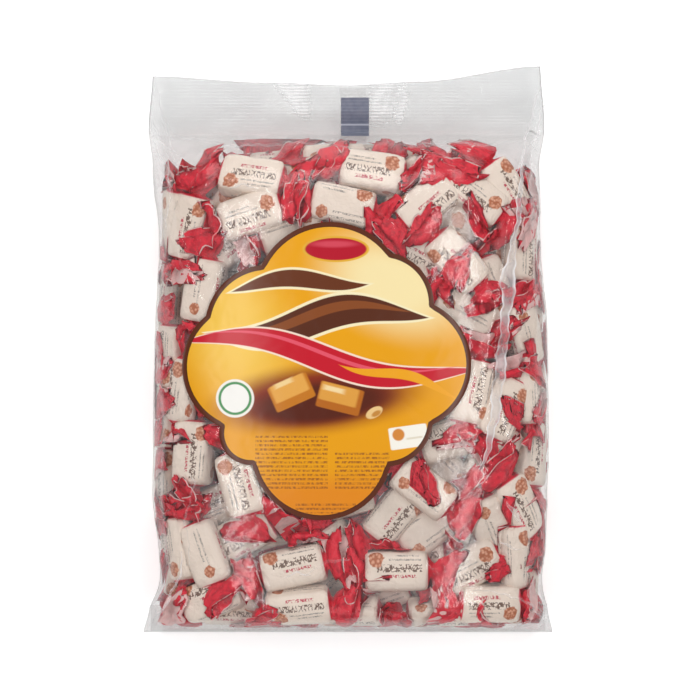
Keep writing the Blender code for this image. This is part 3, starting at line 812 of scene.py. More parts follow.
label = {
    "corners": [(262, 266), (391, 254), (433, 305), (432, 424), (390, 465), (253, 464), (221, 426), (207, 316)],
    "bulges": [18.0, 6.0, 18.5, 5.0, 26.5, 6.0, 15.0, 6.0],
    "steps": 24,
    "rings": 44,
    "crowding": 1.3,  # how much closer together the rings lie towards the rim
    "gap": 0.22,
    "sweeps": 26,
    "yellow": "#EEA60C", "orange": "#E28C10", "rim": "#5E2C18", "rimLine": "#2E140C",
    "shapes": [  # outline, colour, middle and half sizes in photograph pixels, turn in degrees, softness
        ("oval", "#FBE7AE", 392, 285, 64, 40, -22, 0.6), ("oval", "#F6C64A", 236, 330, 46, 70, 20, 0.7),
        ("oval", "#E58A1A", 326, 508, 110, 30, 0, 0.5), ("oval", "#8A2E14", 318, 398, 92, 30, 6, 0.35),
        ("oval", "#5A2110", 322, 402, 66, 20, 6, 0.3), ("box", "#C8791F", 292, 392, 21, 13, 24, 0.05),
        ("box", "#E9A94E", 290, 388, 18, 9, 24, 0.1), ("box", "#F7D596", 284, 383, 9, 2.4, 24, 0.4),
        ("box", "#B9681C", 340, 398, 22, 13, -14, 0.05), ("box", "#E2A044", 339, 394, 19, 9, -14, 0.1),
        ("box", "#F9DCA4", 334, 389, 10, 2.4, -14, 0.4), ("oval", "#F0C98A", 374, 412, 9, 5, 30, 0.12),
        ("oval", "#C98A3E", 376, 413, 5, 2.5, 30, 0.3), ("oval", "#F5F0E6", 236, 398, 19, 19, 0, 0.03),
        ("oval", "#3C8B4A", 236, 398, 16.5, 16.5, 0, 0.04), ("oval", "#F7F4EE", 236, 398, 14, 14, 0, 0.04),
        ("oval", "#E8B23A", 336, 250, 33, 13, 0, 0.03), ("oval", "#B9122B", 336, 250, 30.5, 11, 0, 0.04),
        ("oval", "#D8485A", 334, 245, 21, 3.2, 0, 0.5), ("box", "#FBF6EA", 408, 436, 19, 11, 8, 0.04),
        ("oval", "#D98A3C", 398, 434, 6, 6, 0, 0.15), ("box", "#E6DCC8", 414, 437, 8, 1.0, 8, 0.2),
    ],
    "underWaves": 5,  # how many of these shapes lie under the waves
    "waves": [  # colour, middle, half thickness, turn, depth and length of the wave, phase, half length
        ("#FCEFC4", 318, 322, 19, 6, 9, 190, 0.5, 116), ("#5A2A15", 318, 322, 16, 6, 9, 190, 0.5, 110),
        ("#8A4A22", 316, 318, 5, 6, 9, 190, 0.5, 96), ("#FCEFC4", 300, 284, 11, 4, 6, 150, 2.2, 74),
        ("#6A3418", 300, 284, 8.6, 4, 6, 150, 2.2, 68), ("#FBE3D0", 330, 358, 15, -7, 11, 260, 3.4, 152),
        ("#C9152A", 330, 358, 13, -7, 11, 260, 3.4, 150), ("#E8566A", 330, 353, 2.0, -7, 11, 260, 3.4, 130),
        ("#F2A71C", 400, 378, 5, -16, 5, 120, 1.0, 62),
    ],
    # middle, half sizes, line pitch
    "smallPrint": [(292, 462, 36, 27, 4.2), (362, 470, 27, 19, 4.2), (326, 507, 30, 5, 4.2)],
    "smallInk": "#9A5A22",
    "tint": (500, 330),  # the pixel rows between which the ground turns from orange to yellow
    "rimWide": (2.2, 2.5),
}


def labelOutline():
    corners = [np.array(fromPhoto(*corner)) for corner in label["corners"]]
    points = []
    for index, (start, bulge) in enumerate(zip(corners, label["bulges"])):
        end = corners[(index + 1) % len(corners)]
        chord = end - start
        length = np.linalg.norm(chord)
        out = np.array([-chord[1], chord[0]]) / length
        radius = (length ** 2 / 4 + bulge ** 2) / (2 * bulge)
        middle = (start + end) / 2 + out * (bulge - radius)
        first, last = start - middle, end - middle
        sweep = math.atan2(first[0] * last[1] - first[1] * last[0], first.dot(last))
        for step in range(label["steps"]):
            turn = sweep * step / label["steps"]
            points.append(middle + np.array(rotated(*first, turn)))
    return np.array(points)


def buildLabel():
    outline = labelOutline()
    middle = outline.mean(0)
    count = len(outline)
    shares = 1 - (1 - np.linspace(0, 1, label["rings"] + 1)[1:]) ** label["crowding"]
    flat = [middle]
    rim = [60.0]
    steps = np.roll(outline, -1, 0) - outline
    for share in shares:
        for point in outline:
            at = middle + (point - middle) * share
            flat.append(at)
            reach = np.clip(((at - outline) * steps).sum(1) / (steps ** 2).sum(1), 0, 1)
            rim.append(np.linalg.norm(at - outline - reach[:, None] * steps, axis=1).min())
    flat = np.array(flat)
    height = np.array([filmTop(*at) for at in flat])
    # the print stiffens the film, so that it bridges the small dips
    grid = height[1:].reshape(label["rings"], count)
    for sweep in range(label["sweeps"]):
        even = grid.copy()
        even[1:-1] = (grid[2:] + grid[:-2] + np.roll(grid, 1, 1)[1:-1] + np.roll(grid, -1, 1)[1:-1]) / 4
        grid = np.maximum(even, grid)
    height[1:] = grid.reshape(-1)
    height[0] = grid[0].max()
    points = np.concatenate([flat, (height + label["gap"])[:, None]], 1)
    faces = [(0, 1 + step, 1 + (step + 1) % count) for step in range(count)]
    faces += quads(label["rings"], count, start=1, closed=True, turned=True)
    piece = meshPiece("printed_label", points, faces, None, {"rim": rim})
    faceOutward(piece)
    if piece.data.polygons[0].normal.z < 0:
        bpy.ops.object.mode_set(mode="EDIT")
        bpy.ops.mesh.flip_normals()
        bpy.ops.object.mode_set(mode="OBJECT")
    return piece


labelPiece = buildLabel()
note("label printed")


# strips of film: the dark mark on the header, the lap seam down the back and the fin folded under the bottom

strips = {
    "pleatsAndGlints": [  # strength, then points in photograph pixels with the half width: long folds with painted highlights on their edges, and short ribbons that are painted glints
        (1.0, [(524, 150, 0.6), (520, 178, 1.4), (519, 205, 3.0), (515, 232, 1.8), (510, 258, 4.0),
               (507, 284, 8.5), (506, 306, 5.0), (503, 330, 4.5), (501, 356, 5.5), (497, 384, 5.5),
               (494, 412, 5.0), (489, 440, 3.5), (480, 470, 0.6)]),
        (0.9, [(541, 84, 0.4), (536, 104, 1.0), (529, 126, 1.1), (524, 150, 0.8), (516, 176, 0.4)]),
        (0.75, [(546, 92, 0.3), (541, 120, 1.0), (531, 158, 0.9), (528, 196, 0.3)]),
        (0.75, [(155, 84, 0.3), (162, 112, 0.9), (170, 138, 1.0), (176, 170, 0.3)]),
        (0.7, [(150, 118, 0.3), (166, 150, 0.9), (171, 190, 0.8), (166, 232, 0.3)]),
        (0.75, [(150, 626, 0.3), (166, 604, 1.1), (180, 578, 1.0), (184, 548, 0.3)]),
        (0.65, [(546, 622, 0.3), (530, 604, 1.0), (505, 592, 0.9), (470, 588, 0.3)]),
        (0.55, [(196, 140, 0.3), (240, 147, 1.0), (300, 143, 1.2), (352, 148, 0.3)]),
        (0.5, [(400, 150, 0.3), (440, 142, 1.0), (484, 146, 1.0), (520, 140, 0.3)]),
        # the next three are painted glare on the film over the sweets
        (0.45, [(466, 246, 0.4), (476, 256, 2.0), (484, 272, 0.4)]),
        (0.45, [(506, 500, 0.5), (514, 512, 3.0), (521, 528, 0.5)]),
        (0.35, [(300, 574, 0.4), (330, 560, 1.6), (352, 556, 0.4)]),
        (0.3, [(196, 470, 0.3), (186, 520, 0.9), (192, 566, 0.3)]),
        # from here on, short painted glints on the film
        (0.9, [(152, 128, 0.2), (160, 140, 0.6), (172, 152, 0.6), (182, 158, 0.2)]),
        (0.85, [(158, 120, 0.2), (168, 134, 0.6), (176, 142, 0.2)]),
        (0.85, [(152, 140, 0.2), (158, 152, 0.6), (168, 166, 0.2)]),
        (0.8, [(172, 133, 0.2), (182, 139, 0.7), (194, 137, 0.7), (204, 139, 0.2)]),
        (0.8, [(208, 132, 0.2), (216, 137, 0.6), (228, 135, 0.2)]),
        (0.85, [(528, 148, 0.2), (536, 138, 0.6), (544, 126, 0.2)]),
        (0.8, [(522, 138, 0.2), (530, 145, 0.6), (541, 152, 0.2)]),
        (0.8, [(498, 541, 0.3), (509, 546, 1.4), (521, 548, 0.3)]),
        (0.7, [(230, 191, 0.2), (244, 186, 0.9), (256, 188, 0.2)]),
        (0.7, [(446, 262, 0.2), (459, 256, 1.0), (470, 262, 0.2)]),
        (0.7, [(284, 577, 0.2), (298, 571, 0.9), (312, 573, 0.2)]),
        (0.7, [(188, 470, 0.2), (195, 482, 0.9), (193, 497, 0.2)]),
    ],
    "pleatStep": 1.3,
    "pleatColumns": (-1.0, -0.6, 0.0, 0.6, 1.0),
    "mark": (341, 97, 369, 136),
    "seam": (-4.0, 9.0),
    "seamLong": (-132, 128),
    "fin": 13.0,
    "finHalf": 97,
    "finRib": 0.12,
}


def gridPiece(name, xs, ys, height):
    points = [(x, y, height(x, y)) for y in ys for x in xs]
    return meshPiece(name, points, quads(len(ys), len(xs)))


def buildPleatsAndGlints():
    # flattened folds of slack film, each a narrow ribbon on the film with bright edges that are partly painted
    # highlight; the short ribbons are painted glints
    points, faces, sides, strengths = [], [], [], []
    for strength, line in strips["pleatsAndGlints"]:
        line = np.array(line, float)
        at = np.concatenate([[0], np.cumsum(np.linalg.norm(np.diff(line[:, :2], axis=0), axis=1))]) * pixel
        steps = np.arange(0, at[-1], strips["pleatStep"])
        x, y = (np.interp(steps, at, line[:, axis]) for axis in (0, 1))
        wide = np.interp(steps, at, line[:, 2]) * pixel
        wander = 0.5 * np.sin(steps * 0.33 + strength * 9) + 0.3 * np.sin(steps * 0.9 + strength * 20)
        x, y = fromPhoto(x, y)
        ahead = np.stack([np.gradient(x), np.gradient(y)], 1)
        aside = np.stack([-ahead[:, 1], ahead[:, 0]], 1) / np.linalg.norm(ahead, axis=1)[:, None]
        start = len(points)
        for index in range(len(steps)):
            for across in strips["pleatColumns"]:
                px, py = np.array([x[index], y[index]]) + aside[index] * (wide[index] * across + wander[index])
                points.append((px, py, filmTop(px, py) + 0.3 + 0.5 * (1 - across ** 2) * min(1, wide[index])))
                sides.append(0.5 + across / 2 * 0.999)
                strengths.append(strength)
        faces += quads(len(steps), len(strips["pleatColumns"]), start, turned=True)
    return meshPiece("film_pleats_and_glints", points, faces, None, {"strength": strengths, "across": sides})


def buildStrips():
    left, top = fromPhoto(*strips["mark"][:2])
    right, bottom = fromPhoto(*strips["mark"][2:])
    markXs, markYs = np.linspace(left, right, 15), np.linspace(bottom, top, 40)
    mark = gridPiece("printed_mark", markXs, markYs, lambda x, y: filmTop(x, y) + 0.12)
    seamXs, seamYs = np.linspace(*strips["seam"], 9), np.linspace(*strips["seamLong"], 150)
    seam = gridPiece("lap_seam", seamXs, seamYs, lambda x, y: max(0.02, filmUnder(x, y) - 0.18))
    low, half, rib = bagShape["bottom"], strips["finHalf"], strips["finRib"]
    finXs, finYs = np.linspace(-half, half, 90), np.linspace(low + 0.6, low + strips["fin"], 22)
    crimp = 2 * math.pi / film["crimpPitch"]
    fin = gridPiece("bottom_fin", finXs, finYs, lambda x, y: filmUnder(x, y) - 0.35 - rib * math.sin(crimp * y))
    return mark, seam, fin


markPiece, seamPiece, finPiece = buildStrips()
pleatAndGlintPiece = buildPleatsAndGlints()
note("strips laid")


# materials

paper = {
    "cream": "#F9E9DB", "shade": "#EBD9CA", "red": "#E4243A", "deepRed": "#A60A22",
    "fade": "#E0556C", "back": "#F0DCD6", "ink": "#7C6458", "rose": "#C4525E",
    "grey": "#9A8F88", "nut": "#F0B799", "nutDark": "#B76A48",
    "rows": [  # ink, the middle along and round, half length, half height, all in millimetres
        ("ink", -1.5, 15.4, 11.5, 1.75), ("rose", -1.0, 19.2, 7.0, 0.75), ("grey", -4.0, 11.6, 8.5, 0.4),
        ("grey", -5.0, 9.9, 6.5, 0.4), ("ink", 1.5, 45.6, 11.0, 1.75), ("rose", 2.5, 49.4, 7.0, 0.75),
        ("grey", 4.0, 42.0, 8.0, 0.4), ("grey", 5.0, 40.3, 6.0, 0.4), ("grey", -3.0, 28.0, 9.5, 0.45),
        ("grey", -4.0, 30.2, 8.0, 0.45), ("grey", 1.0, 58.0, 11.0, 0.45), ("grey", 0.0, 60.2, 9.0, 0.45),
    ],
    "strokes": {"ink": 1.6, "rose": 1.1, "grey": 0.7},  # width of a stroke and its gap
    "nuts": [(9.6, 10.6, 3.7), (-9.8, 41.4, 3.8), (9.2, 29.2, 3.0)],  # middle along and round, and radius
}


def insideBox(add, source, middle, halfSizes):
    # 1 within a box of these half sizes about the middle, and 0 outside it
    box = add("Mapping", {"Vector": source}, {"Location": (*middle, 0), "Scale": (*halfSizes, 1)},
              vector_type="TEXTURE")
    size = add("VectorMath", {0: box}, operation="ABSOLUTE")
    sides = add("SeparateXYZ", {"Vector": size})
    most = add("Math", {0: sides, 1: sides.outputs[1]}, operation="MAXIMUM")
    return add("Math", {0: most}, {1: 1.0}, operation="LESS_THAN")


def crimpRibs(add, alongBag):
    # a wave with one crest for each rib that the jaws of the sealer press
    angle = add("Math", {0: alongBag}, {1: 2 * math.pi / (film["crimpPitch"] * mm)}, operation="MULTIPLY")
    return add("Math", {0: angle}, operation="SINE")


def paperMaterial():
    # waxed twist paper, gravure printed: soft satin cream, crimson where it is twisted,
    # with hard creases that catch the light
    look, add = newMaterial("waxed_paper")
    uv = add("UVMap", uv_map="print")
    parts = add("SeparateXYZ", {"Vector": uv})
    own = add("Attribute", attribute_name="own").outputs["Fac"]
    turn = add("Math", {0: parts.outputs[1]}, operation="FRACT")
    girth = add("Math", {0: turn}, {1: wrapper["girth"]}, operation="MULTIPLY")
    sheet = add("CombineXYZ", {"X": parts, "Y": girth})
    shift = add("Math", {0: own}, {1: 90.0}, operation="MULTIPLY")
    each = add("CombineXYZ", {"X": parts, "Y": girth, "Z": shift})
    stain = add("TexNoise", {"Vector": each}, {"Scale": 0.12, "Detail": 3.0})
    ground = add("Mix", {0: stain}, {6: linear(paper["cream"]), 7: linear(paper["shade"])}, data_type="RGBA")
    colour = ground.outputs[2]
    # fine broken rows stand for the print
    for ink, along, around, halfLong, halfHigh in paper["rows"]:
        pitch = paper["strokes"][ink]
        within = insideBox(add, sheet, (along, around), (halfLong, halfHigh))
        written = add("Mapping", {"Vector": sheet},
                      {"Location": (around, 0, 0), "Scale": (pitch, pitch * 1.5, 1)}, vector_type="TEXTURE")
        wander = add("TexNoise", {"Vector": written}, {"Scale": 1.0, "Detail": 1.0}, noise_dimensions="2D")
        stroke = add("Math", {0: wander}, {1: 0.5, 2: 0.07 if ink == "ink" else 0.08}, operation="COMPARE")
        inked = add("Math", {0: stroke, 1: within}, operation="MULTIPLY")
        colour = add("Mix", {0: inked, 6: colour}, {7: linear(paper[ink])}, data_type="RGBA").outputs[2]
    # a round cluster of nuts near an end of three of the four sides
    kernels = add("TexVoronoi", {"Vector": each}, {"Scale": 0.7})
    tone = add("MapRange", {"Value": kernels}, {"From Min": 0.1, "From Max": 0.65})
    nut = add("Mix", {0: tone}, {6: linear(paper["nut"]), 7: linear(paper["nutDark"])}, data_type="RGBA")
    wobble = add("TexNoise", {"Vector": each}, {"Scale": 0.45, "Detail": 1.0})
    for along, around, radius in paper["nuts"]:
        disc = add("Mapping", {"Vector": sheet}, {"Location": (along, around, 0), "Scale": (radius, radius, 1)},
                   vector_type="TEXTURE")
        reach = add("VectorMath", {0: disc}, operation="LENGTH")
        uneven = add("Math", {0: wobble, 2: reach.outputs["Value"]}, {1: 0.75}, operation="MULTIPLY_ADD")
        within = add("MapRange", {"Value": uneven},
                     {"From Min": 1.28, "From Max": 1.4, "To Min": 1.0, "To Max": 0.0})
        colour = add("Mix", {0: within, 6: colour, 7: nut.outputs[2]}, data_type="RGBA").outputs[2]
    # the red begins where the paper gathers, and the sheet's cut edge and part of its back are pale
    reachAlong = add("Math", {0: parts}, operation="ABSOLUTE")
    mottle = add("TexNoise", {"Vector": each}, {"Scale": 0.35, "Detail": 4.0})
    deep = add("MapRange", {"Value": mottle}, {"From Min": 0.45, "From Max": 0.72})
    red = add("Mix", {0: deep}, {6: linear(paper["red"]), 7: linear(paper["deepRed"])}, data_type="RGBA")
    faded = add("MapRange", {"Value": reachAlong}, {"From Min": 15.2, "From Max": 15.8})
    colour = add("Mix", {0: faded, 6: colour}, {7: linear(paper["fade"])}, data_type="RGBA").outputs[2]
    dyed = add("MapRange", {"Value": reachAlong}, {"From Min": 15.7, "From Max": 16.2})
    colour = add("Mix", {0: dyed, 6: colour, 7: red.outputs[2]}, data_type="RGBA").outputs[2]
    edge = add("Math", {0: reachAlong}, {1: 29.9, 2: 0.3}, operation="COMPARE")
    inside = add("Math", {0: reachAlong}, {1: 30.2}, operation="GREATER_THAN")
    some = add("Math", {0: own}, {1: 0.62}, operation="GREATER_THAN")
    back = add("Math", {0: inside, 1: some}, operation="MULTIPLY")
    pale = add("Math", {0: edge, 1: back}, operation="MAXIMUM")
    paleShare = add("Math", {0: pale}, {1: 0.7}, operation="MULTIPLY")
    colour = add("Mix", {0: paleShare, 6: colour}, {7: linear(paper["back"])}, data_type="RGBA").outputs[2]
    crumple = add("TexNoise", {"Vector": each}, {"Scale": 0.5, "Detail": 4.0, "Roughness": 0.55},
                  noise_type="RIDGED_MULTIFRACTAL")
    fine = add("TexNoise", {"Vector": each},
               {"Scale": 0.16, "Detail": 5.0, "Roughness": 0.6, "Distortion": 0.8})
    creased = add("Bump", {"Height": crumple}, {"Strength": 0.35, "Distance": 0.0006})
    bump = add("Bump", {"Height": fine, "Normal": creased}, {"Strength": 0.6, "Distance": 0.0022})
    shader = add("BsdfPrincipled", {"Base Color": colour, "Normal": bump},
                 {"Roughness": 0.36, "IOR": 1.45, "Specular IOR Level": 0.4})
    add("OutputMaterial", {"Surface": shader})
    return look


clearFilm = {
    # the near-white fold colour is for the pleat ribbons, and is partly painted highlight
    # the pure white is the colour of the painted glare on the header's ribs
    "milk": "#D2D3D4", "white": "#FFFFFF", "fold": "#F4F1F2",
    "bend": 1.42,  # how strongly it bends light, which sets its shine at a slant
    "mostGloss": 0.14,
    "mostMilk": 0.9,
    "pressed": (0.99, 0.99, 0.99, 1),  # what it lets through where it lies on a wrapper
    "free": (0.895, 0.897, 0.895, 1),  # and where two sheets hang free
    "steep": (0.8, 0.805, 0.8, 1),  # and where it turns down at the sides
    "doubled": (0.95, 0.95, 0.945, 1),  # and where it is lapped or crimped
}


def filmMaterial(name="polypropylene_film", haze=0.02, fullHaze=0.12, useGap=True):
    # clear cast polypropylene: a hard thin shine, and milky where it stands clear of the sweets or is crimped
    look, add = newMaterial(name)
    coordinates = add("TexCoord")
    place = coordinates.outputs["Object"]
    scratch = add("TexNoise", {"Vector": place}, {"Scale": 160.0, "Detail": 4.0, "Roughness": 0.6})
    bump = add("Bump", {"Height": scratch}, {"Strength": 0.5, "Distance": 0.0007})
    crumple = add("TexNoise", {"Vector": place}, {"Scale": 38.0, "Detail": 2.0, "Distortion": 0.6})
    waved = add("Bump", {"Height": crumple, "Normal": bump}, {"Strength": 0.6, "Distance": 0.003})
    patch = add("TexNoise", {"Vector": place}, {"Scale": 22.0, "Detail": 3.0})
    total = add("MapRange", {"Value": patch},
                {"From Min": 0.35, "From Max": 0.75, "To Min": haze * 0.3, "To Max": haze * 1.9})
    if useGap:
        gap = add("Attribute", attribute_name="gap").outputs["Fac"]
        far = add("MapRange", {"Value": gap}, {"From Min": 3.0, "From Max": 9.0, "To Max": fullHaze})
        total = add("Math", {0: total, 1: far}, operation="ADD")
        header = add("Attribute", attribute_name="header").outputs["Fac"]
        tall = add("Mapping", {"Vector": place}, {"Scale": (32.0, 5.0, 0.0)})
        streak = add("TexNoise", {"Vector": tall}, {"Scale": 1.0, "Detail": 2.0})
        streaky = add("MapRange", {"Value": streak},
                      {"From Min": 0.35, "From Max": 0.65, "To Min": 0.1, "To Max": 0.12})
        total = add("Math", {0: header, 1: streaky, 2: total}, operation="MULTIPLY_ADD")
        # more of it lies in the line of sight where it turns down at the sides
        facing = add("SeparateXYZ", {"Vector": coordinates.outputs["Normal"]})
        level = add("Math", {0: facing.outputs[2]}, operation="ABSOLUTE")
        steep = add("MapRange", {"Value": level},
                    {"From Min": 0.1, "From Max": 0.65, "To Min": 1.0, "To Max": 0.0})
        total = add("Math", {0: steep, 2: total}, {1: 0.12}, operation="MULTIPLY_ADD")
        # the jaws of the sealer press fine ribs across the header
        parts = add("SeparateXYZ", {"Vector": place})
        rib = crimpRibs(add, parts.outputs[1])
        ribbed = add("Math", {0: rib, 1: header}, operation="MULTIPLY")
        waved = add("Bump", {"Height": ribbed, "Normal": waved},
                    {"Strength": 1.0, "Distance": film["crimpDepth"] * mm})
        # and the ribs carry painted glare, bright where the header buckles
        glareShare = add("Attribute", attribute_name="paintedGlare").outputs["Fac"]
        # rib stripes broken by noise: the pattern of the painted glare
        stripes = add("MapRange", {"Value": rib}, {"From Min": -0.5, "From Max": 0.6, "To Min": 0.2})
        ragged = add("TexNoise", {"Vector": place}, {"Scale": 130.0, "Detail": 2.0})
        broken = add("MapRange", {"Value": ragged}, {"From Min": 0.35, "From Max": 0.5, "To Min": 0.35})
        ribWearAndGlare = add("Math", {0: stripes, 1: broken}, operation="MULTIPLY")
        white = add("Math", {0: ribWearAndGlare, 1: glareShare}, operation="MULTIPLY")
        total = add("Math", {0: white, 2: total}, {1: 0.85}, operation="MULTIPLY_ADD")
    total = add("Math", {0: total}, {1: clearFilm["mostMilk"]}, operation="MINIMUM")
    milk = add("BsdfPrincipled", {"Normal": waved},
               {"Base Color": linear(clearFilm["milk"]), "Roughness": 0.35})
    if useGap:
        # it is greyest where two sheets hang free, and all but unseen where it is pressed to a wrapper
        tint = add("MapRange", {"Value": gap}, {"From Min": 0.8, "From Max": 5.0})
        tone = add("Mix", {0: tint}, {6: clearFilm["pressed"], 7: clearFilm["free"]}, data_type="RGBA")
        edged = add("Mix", {0: steep, 6: tone.outputs[2]}, {7: clearFilm["steep"]}, data_type="RGBA")
        clear = add("BsdfTransparent", {"Color": edged.outputs[2]})
        # the milk turns to the pure white of the painted glare on the header's ribs
        tones = add("Mix", {0: white}, {6: linear(clearFilm["milk"]), 7: linear(clearFilm["white"])},
                    data_type="RGBA")
        look.node_tree.links.new(tones.outputs[2], milk.inputs["Base Color"])
    else:
        clear = add("BsdfTransparent", None, {"Color": clearFilm["doubled"]})
    shine = add("BsdfPrincipled", {"Normal": waved},
                {"Base Color": (1, 1, 1, 1), "Metallic": 1.0, "Roughness": 0.1})
    grazing = add("Fresnel", {"Normal": waved}, {"IOR": clearFilm["bend"]})
    gloss = add("Math", {0: grazing}, {1: clearFilm["mostGloss"]}, operation="MINIMUM")
    glossy = add("MixShader", {0: gloss, 1: clear, 2: shine})
    mixed = add("MixShader", {0: total, 1: glossy, 2: milk})
    add("OutputMaterial", {"Surface": mixed})
    return look


def pleatAndGlintMaterial():
    # doubled film pressed flat: hard edges made pale by the doubling and by painted highlight, and a milky
    # middle; the short ribbons are painted glints
    look, add = newMaterial("pleated_film_and_glints")
    clear = add("BsdfTransparent", None, {"Color": (1, 1, 1, 1)})
    place = add("TexCoord").outputs["Object"]
    across = add("Attribute", attribute_name="across").outputs["Fac"]
    strength = add("Attribute", attribute_name="strength").outputs["Fac"]
    side = add("Math", {0: across}, {1: 0.5}, operation="SUBTRACT")
    away = add("Math", {0: side}, operation="ABSOLUTE")
    # the edges are painted brighter than the middle: painted highlight along each fold
    edge = add("MapRange", {"Value": away}, {"From Min": 0.28, "From Max": 0.45, "To Min": 0.4, "To Max": 0.95})
    uneven = add("TexNoise", {"Vector": place}, {"Scale": 90.0, "Detail": 3.0})
    broken = add("MapRange", {"Value": uneven}, {"From Min": 0.35, "From Max": 0.6, "To Min": 0.35})
    seen = add("Math", {0: edge, 1: broken}, operation="MULTIPLY")
    total = add("Math", {0: seen, 1: strength}, operation="MULTIPLY")
    # its near-white colour is partly painted highlight
    body = add("BsdfPrincipled", None, {"Base Color": linear(clearFilm["fold"]), "Roughness": 0.25, "IOR": 1.5})
    mixed = add("MixShader", {0: total, 1: clear, 2: body})
    add("OutputMaterial", {"Surface": mixed})
    return look


def labelShape(add, place, colour, shape):
    # one oval or box of ink over the colour so far
    outline, ink, px, py, wide, high, turn, soft = shape
    x, y = fromPhoto(px, py)
    size = pixel * mm
    turned = add("Mapping", {"Vector": place},
                 {"Location": (x * mm, y * mm, 0), "Rotation": (0, 0, math.radians(turn)),
                  "Scale": (wide * size, high * size, 1)}, vector_type="TEXTURE")
    flat = add("VectorMath", {0: turned}, {1: (1, 1, 0)}, operation="MULTIPLY")
    if outline == "oval":
        reach = add("VectorMath", {0: flat}, operation="LENGTH").outputs["Value"]
    else:
        sides = add("VectorMath", {0: flat}, operation="ABSOLUTE")
        both = add("SeparateXYZ", {"Vector": sides})
        reach = add("Math", {0: both, 1: both.outputs[1]}, {2: 0.25}, operation="SMOOTH_MAX")
    mask = add("MapRange", {"Value": reach},
               {"From Min": 1 - soft, "From Max": 1 + soft, "To Min": 1.0, "To Max": 0.0},
               interpolation_type="SMOOTHSTEP")
    return add("Mix", {0: mask, 6: colour}, {7: linear(ink)}, data_type="RGBA").outputs[2]


def labelMaterial():
    # gravure ink under glossy film: flat bright fields of colour with a hard shine
    look, add = newMaterial("printed_film")
    place = add("TexCoord").outputs["Object"]
    rim = add("Attribute", attribute_name="rim").outputs["Fac"]
    parts = add("SeparateXYZ", {"Vector": place})
    low, high = (fromPhoto(0, row)[1] * mm for row in label["tint"])
    warm = add("TexNoise", {"Vector": place}, {"Scale": 18.0})
    falling = add("MapRange", {"Value": parts.outputs[1]},
                  {"From Min": low, "From Max": high, "To Min": 0.75, "To Max": 0.1})
    warmth = add("Math", {0: falling, 1: warm}, operation="MULTIPLY")
    ground = add("Mix", {0: warmth}, {6: linear(label["yellow"]), 7: linear(label["orange"])}, data_type="RGBA")
    colour = ground.outputs[2]
    size = pixel * mm
    for shape in label["shapes"][:label["underWaves"]]:
        colour = labelShape(add, place, colour, shape)
    for ink, px, py, thick, turn, depth, length, phase, reach in label["waves"]:
        x, y = fromPhoto(px, py)
        turned = add("Mapping", {"Vector": place},
                     {"Location": (x * mm, y * mm, 0), "Rotation": (0, 0, math.radians(turn)),
                      "Scale": (size, size, 1)}, vector_type="TEXTURE")
        along = add("SeparateXYZ", {"Vector": turned})
        angle = add("Math", {0: along}, {1: 2 * math.pi / length, 2: phase}, operation="MULTIPLY_ADD")
        sine = add("Math", {0: angle}, operation="SINE")
        off = add("Math", {0: sine, 2: along.outputs[1]}, {1: -depth}, operation="MULTIPLY_ADD")
        away = add("Math", {0: off}, operation="ABSOLUTE")
        share = add("Math", {0: along}, {1: reach}, operation="DIVIDE")
        square = add("Math", {0: share}, {1: 2.0}, operation="POWER")
        taper = add("Math", {0: square}, {1: -thick, 2: thick}, operation="MULTIPLY_ADD")
        within = add("Math", {0: taper, 1: away}, operation="SUBTRACT")
        mask = add("MapRange", {"Value": within}, {"From Min": -0.4, "From Max": 0.4})
        colour = add("Mix", {0: mask, 6: colour}, {7: linear(ink)}, data_type="RGBA").outputs[2]
    for shape in label["shapes"][label["underWaves"]:]:
        colour = labelShape(add, place, colour, shape)
    # blocks of fine broken lines, too fine to read, where such packs have their small print
    for px, py, wide, high, pitch in label["smallPrint"]:
        x, y = fromPhoto(px, py)
        within = insideBox(add, place, (x * mm, y * mm), (wide * size, high * size))
        rows = add("Math", {0: parts.outputs[1]}, {1: 1 / (pitch * size)}, operation="MULTIPLY")
        share = add("Math", {0: rows}, operation="FRACT")
        line = add("Math", {0: share}, {1: 0.55}, operation="LESS_THAN")
        fine = add("Mapping", {"Vector": place}, {"Scale": (1.1 * mm, pitch * size, 1)}, vector_type="TEXTURE")
        words = add("TexNoise", {"Vector": fine}, {"Scale": 1.0, "Detail": 2.0})
        broken = add("MapRange", {"Value": words},
                     {"From Min": 0.4, "From Max": 0.6, "To Min": 0.1, "To Max": 0.85})
        inked = add("Math", {0: line, 1: broken}, operation="MULTIPLY")
        mask = add("Math", {0: inked, 1: within}, operation="MULTIPLY")
        colour = add("Mix", {0: mask, 6: colour}, {7: linear(label["smallInk"])}, data_type="RGBA").outputs[2]
    inner, outer = label["rimWide"]
    brown = add("MapRange", {"Value": rim},
                {"From Min": inner, "From Max": outer, "To Min": 1.0, "To Max": 0.0})
    colour = add("Mix", {0: brown, 6: colour}, {7: linear(label["rim"])}, data_type="RGBA").outputs[2]
    line = add("Math", {0: rim}, {1: inner, 2: 0.22}, operation="COMPARE")
    faint = add("Math", {0: line}, {1: 0.6}, operation="MULTIPLY")
    colour = add("Mix", {0: faint, 6: colour}, {7: linear(label["rimLine"])}, data_type="RGBA").outputs[2]
    crumple = add("TexNoise", {"Vector": place}, {"Scale": 45.0, "Detail": 2.0, "Distortion": 0.5})
    bump = add("Bump", {"Height": crumple}, {"Strength": 0.35, "Distance": 0.002})
    shader = add("BsdfPrincipled", {"Base Color": colour, "Normal": bump}, {"Roughness": 0.3, "IOR": 1.4})
    add("OutputMaterial", {"Surface": shader})
    return look


markInk = {
    "dark": "#5E6278", "light": "#868998", "ribWearAndGlare": "#BDBFCC",
    "line": 124,  # the pixel row of the pale line across it
}


